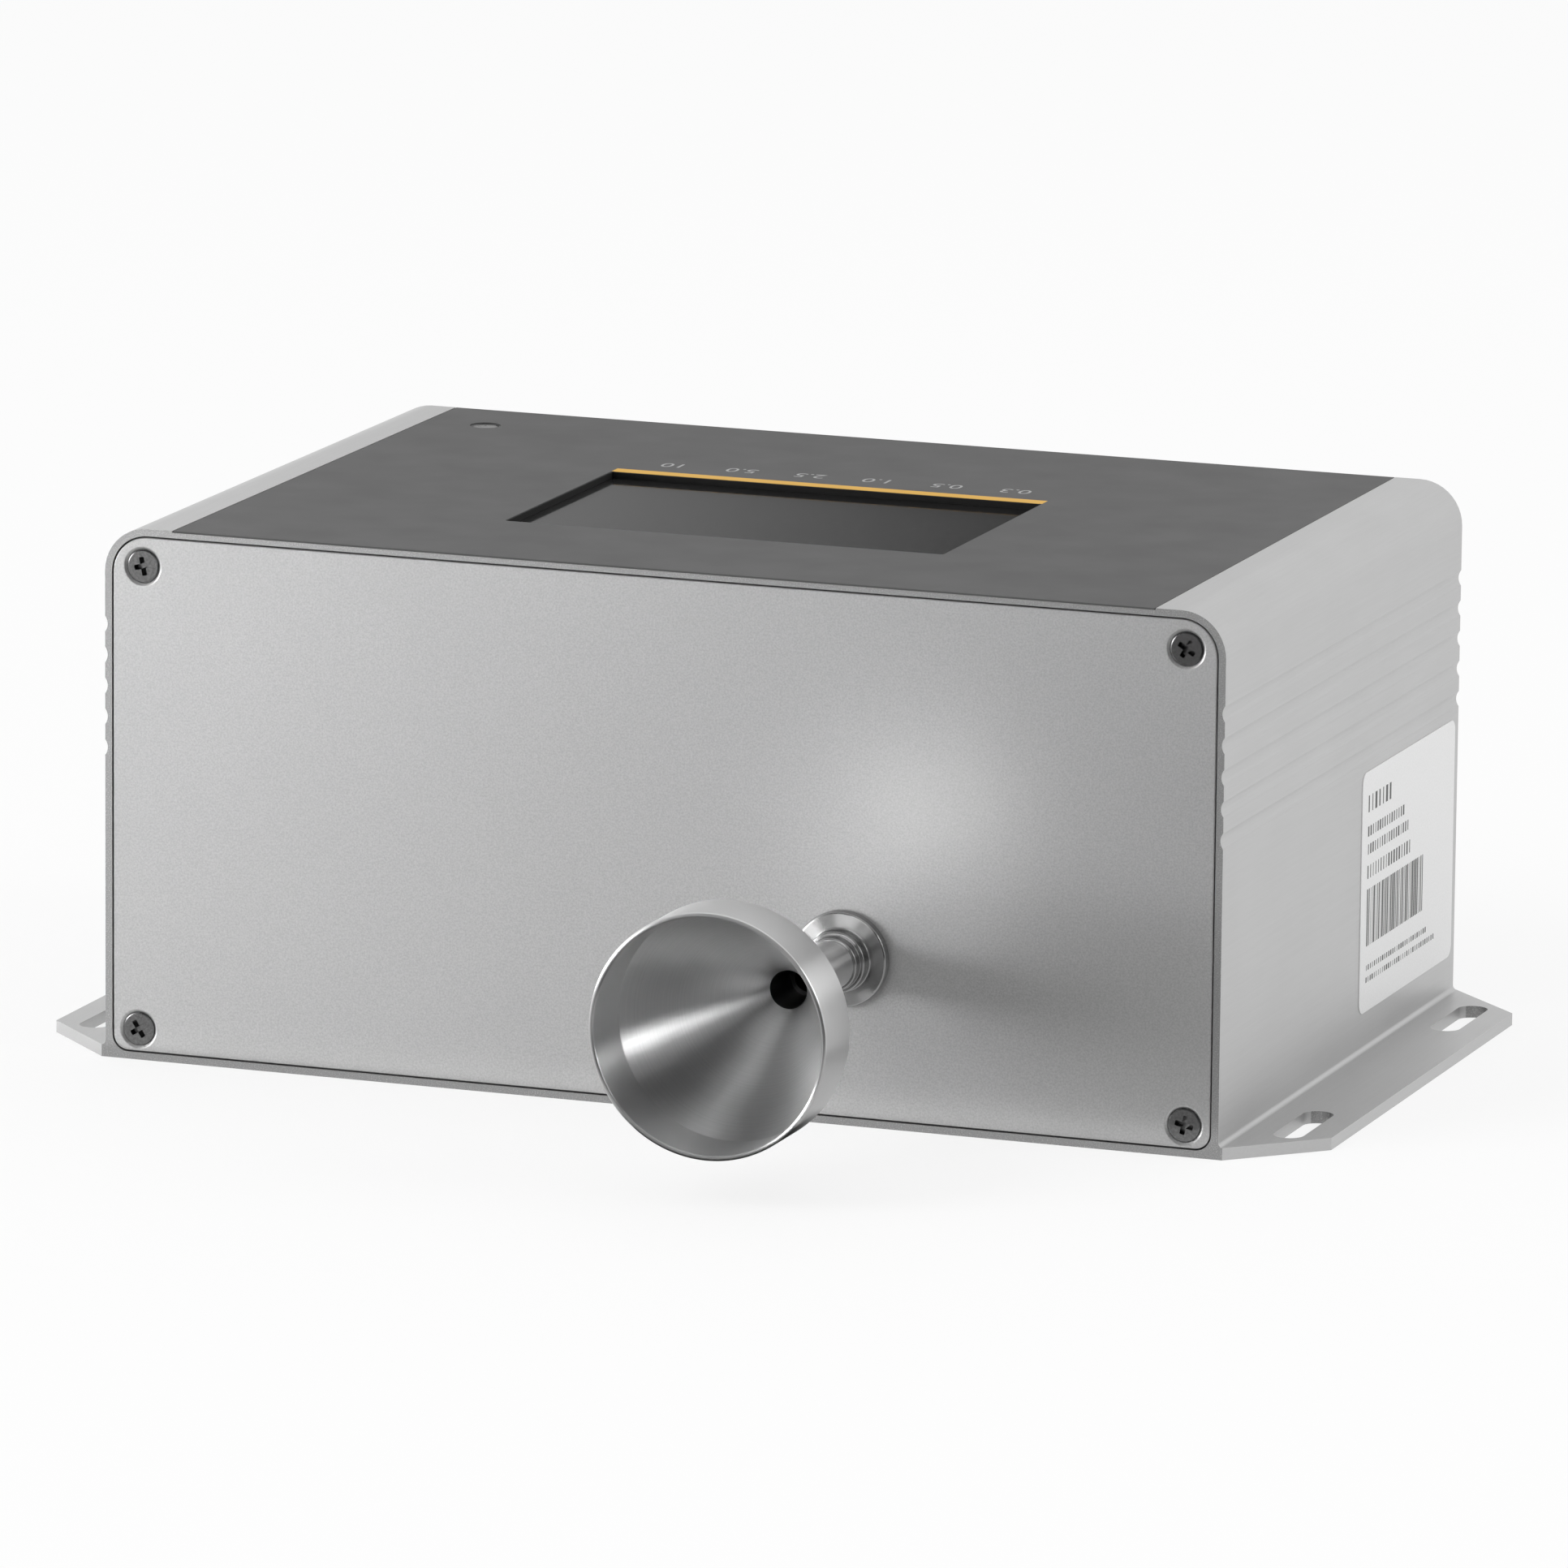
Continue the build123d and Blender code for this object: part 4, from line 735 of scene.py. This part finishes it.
# %% Screws at the corners
def screw_group():
    tree, keys, given = open_group("screws_on_points", {
        "Points": "NodeSocketGeometry", "Screw": "NodeSocketObject", "Finish": "NodeSocketMaterial",
    })
    source = node(tree, "GeometryNodeObjectInfo", {"Object": given["Screw"]})
    turn = node(tree, "GeometryNodeInputNamedAttribute", {"Name": "turn"}, data_type="FLOAT_VECTOR")
    rotation = node(tree, "FunctionNodeEulerToRotation", {0: turn.outputs[0]})
    placed = node(tree, "GeometryNodeInstanceOnPoints", {
        "Points": given["Points"], "Instance": source.outputs["Geometry"], "Rotation": rotation.outputs[0],
    })
    close_group(tree, placed.outputs[0], given["Finish"])
    return tree, keys


screws = screw_group()
screw_spots = [(-88.9, 81.8), (88.9, 81.8), (-89.7, 5.1), (89.7, 5.1)]
head_face = 61.85


def screws_on(name, tip, turns_and_painted_shade, node_name):
    """Four screws on one panel. Tip says which way a screw's head looks: +1 to the front, -1 to the rear."""
    mesh = bpy.data.meshes.new(name + "_places")
    mesh.from_pydata([(x * mm, -tip * head_face * mm, z * mm) for x, z in screw_spots], [], [])
    turn = mesh.attributes.new("turn", "FLOAT_VECTOR", "POINT")
    for item, degrees in zip(turn.data, turns_and_painted_shade):
        item.vector = (tip * math.pi / 2, -tip * math.radians(degrees), 0)
    made = settled(grown(name, mesh, screws, Screw=one_screw, Finish=screw_finish), 12)
    give_piece(name, made, screw_finish, "screw_steel", "counter", node_name)


screws_on("front_screws", 1, (12, 58, 33, 77), "front_panel_screws")
screws_on("rear_screws", -1, (77, 33, 58, 12), "rear_panel_screws")
bpy.data.objects.remove(one_screw)

# %% [markdown]
# ## Display window
# The window is a clear opening in the film and the roof, with the glass a millimetre down. Its walls
# are painted black so that they don't flash beside the display. The lining is that paint: a thin frame
# that stops just short of the film, whose cut edge catches the light.

# %% Dark finishes around the display
def dark_glass():
    material, tree, shader = start_finish("display_glass", grey(30), 0.0, 0.07, 0.32)
    dust = grain(tree, 0.9, 4)
    shade = grain(tree, 0.02, 1)
    set_rough(tree, shader, between(tree, dust, 0.05, 0.13))
    tint(tree, shader, shade, grey(24), grey(34))
    return material


def soft_black(name, level=18, rough=0.6, per_mm=4.0, depth=0.03):
    material, tree, shader = start_finish(name, grey(level), 0.0, rough, 0.3)
    cells = grain(tree, per_mm, 3)
    tint(tree, shader, cells, grey(level - 5), grey(level + 9))
    set_rough(tree, shader, between(tree, cells, rough - 0.06, rough + 0.08))
    raise_grain(tree, shader, cells, depth, 0.6)
    return material


glass_finish = dark_glass()
black_paint = soft_black("window_paint", 12, 0.7)
print("dark finishes", glass_finish.name, black_paint.name)

# %% Window lining
def window_lining(thick=0.25, top=87.9, foot=86.87):
    wall = bmesh.new()
    rings = []
    for inset, z in ((0, foot), (0, top), (thick, top), (thick, foot)):
        sides = oblong(
            window_low.x + inset, window_high.x - inset, window_low.y + inset, window_high.y - inset
        )
        rings.append([wall.verts.new((x * mm, y * mm, z * mm)) for x, y in sides])
    for a, b in zip(rings, rings[1:] + rings[:1]):
        for i in range(4):
            k = (i + 1) % 4
            wall.faces.new((a[i], a[k], b[k], b[i]))
    bmesh.ops.recalc_face_normals(wall, faces=wall.faces)
    give_piece("window_lining", as_mesh(wall, "window_lining"), black_paint, "black_foam", "counter")


window_lining()

# %% [markdown]
# ## Print on the film
# Beside the amber line stand the size channels that such a counter sorts particles into, in
# micrometres. They are plain numbers, read from the display's own side. Text is a curve, so it is made
# a mesh first and only then turned and set in place.

# %% Channel numbers
def print_finish(name, level):
    material, tree, shader = start_finish(name, grey(level), 0.0, 0.5, 0.3)
    ink = grain(tree, 7, 3)
    tint(tree, shader, ink, grey(level - 14), grey(level + 6))
    set_rough(tree, shader, between(tree, ink, 0.45, 0.58))
    return material


light_ink = print_finish("light_print", 168)


def face_towards(shell, axis):
    """Turn every face of flat print to look along one positive axis."""
    for face in shell.faces:
        if face.normal[axis] < 0:
            face.normal_flip()


def channel_numbers(words, height, x_from, x_to, y, top):
    joined = bmesh.new()
    for i, word in enumerate(words):
        curve = bpy.data.curves.new("number", "FONT")
        curve.body, curve.size, curve.align_x = word, height * mm, "CENTER"
        flat = evaluated_copy(linked("number", curve), "number")
        x = x_from + (x_to - x_from) * i / (len(words) - 1)
        for v in flat.vertices:
            v.co = Vector((x * mm - v.co.x, y * mm - v.co.y, top * mm))
        joined.from_mesh(flat)
        bpy.data.meshes.remove(flat)
    bmesh.ops.remove_doubles(joined, verts=joined.verts, dist=weld)
    face_towards(joined, 2)
    give_piece("channel_numbers", as_mesh(joined, "channel_numbers"), light_ink, "grey_film", "counter")


sizes_in_microns = ("0.3", "0.5", "1.0", "2.5", "5.0", "10")
# The print lies just over the lowered face of the film and under the top of the solids' box.
channel_numbers(sizes_in_microns, height=4.6, x_from=30, x_to=-30, y=26.5, top=87.998)

# %% [markdown]
# ## Side label
# The label is white film with a rounded outline. Its print is rows of upright bars, one tall and six
# short, each scattered in width by a fixed seed, so that it looks like a rating label and says nothing.

# %% Label and its bars
def label_paper():
    material, tree, shader = start_finish("label_white", grey(222), 0.0, 0.38, 0.4)
    fibre = grain(tree, 3, 3)
    tint(tree, shader, fibre, grey(218), grey(226))
    set_rough(tree, shader, between(tree, fibre, 0.34, 0.42))
    raise_grain(tree, shader, fibre, 0.004, 0.4)
    return material


white_label = label_paper()
bar_ink = print_finish("label_print", 84)


def bar_group():
    tree, keys, given = open_group("upright_bars", {
        "Count": "NodeSocketInt", "Pitch": "NodeSocketFloat", "Height": "NodeSocketFloat",
        "Narrow": "NodeSocketFloat", "Wide": "NodeSocketFloat", "Seed": "NodeSocketInt",
        "Start": "NodeSocketVector", "Finish": "NodeSocketMaterial",
    })
    step = node(tree, "ShaderNodeCombineXYZ", {1: given["Pitch"]})
    line = node(tree, "GeometryNodeMeshLine", {
        "Count": given["Count"], "Start Location": given["Start"], "Offset": step.outputs[0],
    })
    # A unit square stood upright to face +X, wide along Y.
    square = node(tree, "GeometryNodeMeshGrid", {"Vertices X": 2, "Vertices Y": 2})
    quarter_turn = (0, math.pi / 2, 0)
    bar = node(tree, "GeometryNodeTransform", {"Geometry": square.outputs[0], "Rotation": quarter_turn})
    wide = node(tree, "FunctionNodeRandomValue", data_type="FLOAT")
    for socket, value in (("Min", given["Narrow"]), ("Max", given["Wide"]), ("Seed", given["Seed"])):
        target = [s for s in wide.inputs if s.name == socket and s.enabled][0]
        tree.links.new(value, target)
    width = [s for s in wide.outputs if s.enabled][0]
    size = node(tree, "ShaderNodeCombineXYZ", {0: 1.0, 1: width, 2: given["Height"]})
    placed = node(tree, "GeometryNodeInstanceOnPoints", {
        "Points": line.outputs[0], "Instance": bar.outputs[0], "Scale": size.outputs[0],
    })
    close_group(tree, placed.outputs[0], given["Finish"])
    return tree, keys


bars = bar_group()
print_gap = 0.006
label_face = 95.62 + print_gap
first_bar = 13.5


def bar_row(z, count, height, pitch, narrow, wide, seed):
    return grown(
        "bar_row", bpy.data.meshes.new("row"), bars,
        Count=count, Pitch=pitch * mm, Height=height * mm, Narrow=narrow * mm, Wide=wide * mm, Seed=seed,
        Finish=bar_ink, Start=(label_face * mm, first_bar * mm, z * mm),
    )


def label_print():
    rows = [bar_row(24.0, 34, 9.5, 0.9, 0.15, 0.8, seed=7)]
    # Short rows of thin bars have the density of a line of print at arm's length.
    short_rows = (
        (43.0, 7, 2.8, 1.9), (38.4, 16, 1.7, 1.25), (35.4, 18, 1.7, 1.25), (31.6, 17, 2.2, 1.4),
        (15.6, 30, 0.9, 1.1), (13.6, 34, 0.9, 1.1),
    )
    for z, count, height, pitch in short_rows:
        rows.append(bar_row(z, count, height, pitch, pitch * 0.2, pitch * 0.62, seed=int(z)))
    joined = bmesh.new()
    for mesh in rows:
        joined.from_mesh(mesh)
        bpy.data.meshes.remove(mesh)
    face_towards(joined, 0)
    give_piece("label_bars", as_mesh(joined, "label_bars"), bar_ink, "white_label", "counter")


label_print()

# %% [markdown]
# ## The solids that stay as they are
# Everything else already has its right shape, most of it inside the closed box. Each gets the finish of
# its real material, so that the part also holds up when its panels are taken away.

# %% Families of finishes for the inner pieces
def moulded(name, colour, rough=0.45, per_mm=3.0, depth=0.01, **more):
    material, tree, shader = start_finish(name, colour, 0.0, rough, 0.45, **more)
    skin = grain(tree, per_mm, 3)
    deeper = tuple(c * 0.86 for c in colour[:3]) + (1,)
    tint(tree, shader, skin, deeper, colour)
    set_rough(tree, shader, between(tree, skin, rough - 0.05, rough + 0.06))
    raise_grain(tree, shader, skin, depth, 0.5)
    return material


def worked_metal(name, colour, rough=0.3, per_mm=2.5, depth=0.006, stretch=(1, 1, 1)):
    material, tree, shader = start_finish(name, colour, 1.0, rough, 0.5)
    marks = grain(tree, per_mm, 4, stretch)
    duller = tuple(c * 0.8 for c in colour[:3]) + (1,)
    tint(tree, shader, marks, duller, colour)
    set_rough(tree, shader, between(tree, marks, rough + 0.08, rough - 0.06))
    raise_grain(tree, shader, marks, depth, 0.5)
    return material


def circuit_board():
    material, tree, shader = start_finish("solder_mask", rgb(24, 84, 52), 0.0, 0.3, 0.5)
    lines = node(tree, "ShaderNodeTexBrick", {
        "Vector": place_on(tree), "Scale": 0.16, "Mortar Size": 0.03, "Color1": rgb(22, 78, 48),
        "Color2": rgb(26, 88, 54), "Mortar": rgb(52, 128, 84),
    })
    paint(tree, shader, lines.outputs["Color"])
    set_rough(tree, shader, between(tree, grain(tree, 2, 3), 0.26, 0.36))
    raise_grain(tree, shader, lines.outputs["Fac"], 0.03, 0.5)
    return material


def wound_wire():
    material, tree, shader = start_finish("enamelled_copper", rgb(190, 104, 58), 0.9, 0.3, 0.5)
    waves = node(tree, "ShaderNodeTexWave", {"Vector": place_on(tree), "Scale": 0.9}, bands_direction="Y")
    turns_and_painted_shade = waves.outputs["Fac"]
    # The colour goes darker in the grooves between the turns of wire: painted shade. The same waves raise the
    # turns as bumps.
    paint(tree, shader, mix_colour(tree, turns_and_painted_shade, rgb(120, 58, 30), rgb(206, 120, 70)))
    raise_grain(tree, shader, turns_and_painted_shade, 0.2, 0.7)
    return material


def pleated_paper():
    material, tree, shader = start_finish("filter_fleece", rgb(232, 230, 220), 0.0, 0.85, 0.2)
    fibres = grain(tree, 3, 5, (1, 0.3, 1))
    tint(tree, shader, fibres, rgb(214, 211, 200), rgb(238, 236, 228))
    raise_grain(tree, shader, fibres, 0.06, 0.8)
    return material


def status_lens():
    material, tree, shader = start_finish("diffused_lens", grey(112), 0.0, 0.3, 0.5)
    milk = grain(tree, 0.8, 3)
    tint(tree, shader, milk, grey(104), grey(118))
    set_rough(tree, shader, between(tree, milk, 0.26, 0.36))
    return material


# %% Finish for each slot
# How much light a silicone hose and an optical glass let through.
hazy, clear = {"Transmission Weight": 0.35}, {"Transmission Weight": 0.9}
slot_finishes = {
    "grey_film": film_finish,
    "white_label": white_label,
    "window_glass": glass_finish,
    "black_foam": soft_black("foam_black", 22, 0.85, 3.0, 0.12),
    "display_frame": worked_metal("display_frame_steel", grey(176), 0.34),
    "circuit_board": circuit_board(),
    "plated_brass": worked_metal("nickel_plated_brass", rgb(196, 190, 172), 0.22),
    "flat_cable": moulded("flat_cable_white", rgb(214, 214, 208), 0.5, 1.2),
    "plug_plastic": moulded("plug_nylon", rgb(42, 42, 44), 0.45),
    "light_lens": status_lens(),
    "clear_hose": moulded("silicone_hose", rgb(212, 216, 216), 0.25, 1.0, 0.01, **hazy),
    "black_anodised": soft_black("black_anodised", 26, 0.42, 6.0, 0.01),
    "laser_brass": worked_metal("laser_brass", rgb(204, 172, 96), 0.24),
    "mirror_coat": worked_metal("mirror_coat", grey(232), 0.06, 0.6, 0.0005),
    "optic_glass": moulded("optic_glass", grey(236), 0.04, 0.5, 0.0005, **clear),
    "blower_plastic": moulded("blower_black", grey(40), 0.5, 4.0, 0.02),
    "wheel_plastic": moulded("wheel_grey", grey(120), 0.48, 4.0, 0.015),
    "motor_steel": worked_metal("motor_steel", grey(170), 0.3, 2.0, 0.006, (1, 0.1, 1)),
    "winding_copper": wound_wire(),
    "filter_plastic": moulded("filter_case", rgb(226, 228, 230), 0.35),
    "filter_paper": pleated_paper(),
    "chip_black": soft_black("chip_epoxy", 30, 0.5, 7.0, 0.01),
    "capacitor_can": worked_metal("capacitor_sleeve", rgb(52, 58, 84), 0.4),
    "screw_steel": screw_finish,
    "anodised_housing": aluminium,
    "blasted_panel": blasted,
    "probe_steel": funnel_steel,
    "fitting_steel": fitting_steel,
}
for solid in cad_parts.values():
    for place in solid.material_slots:
        # A solid arrives with a plain material that bears the name of its slot.
        place.material = slot_finishes[place.material.name.split(".")[0]]
print("solids dressed", len(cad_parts), "finishes", len(slot_finishes))
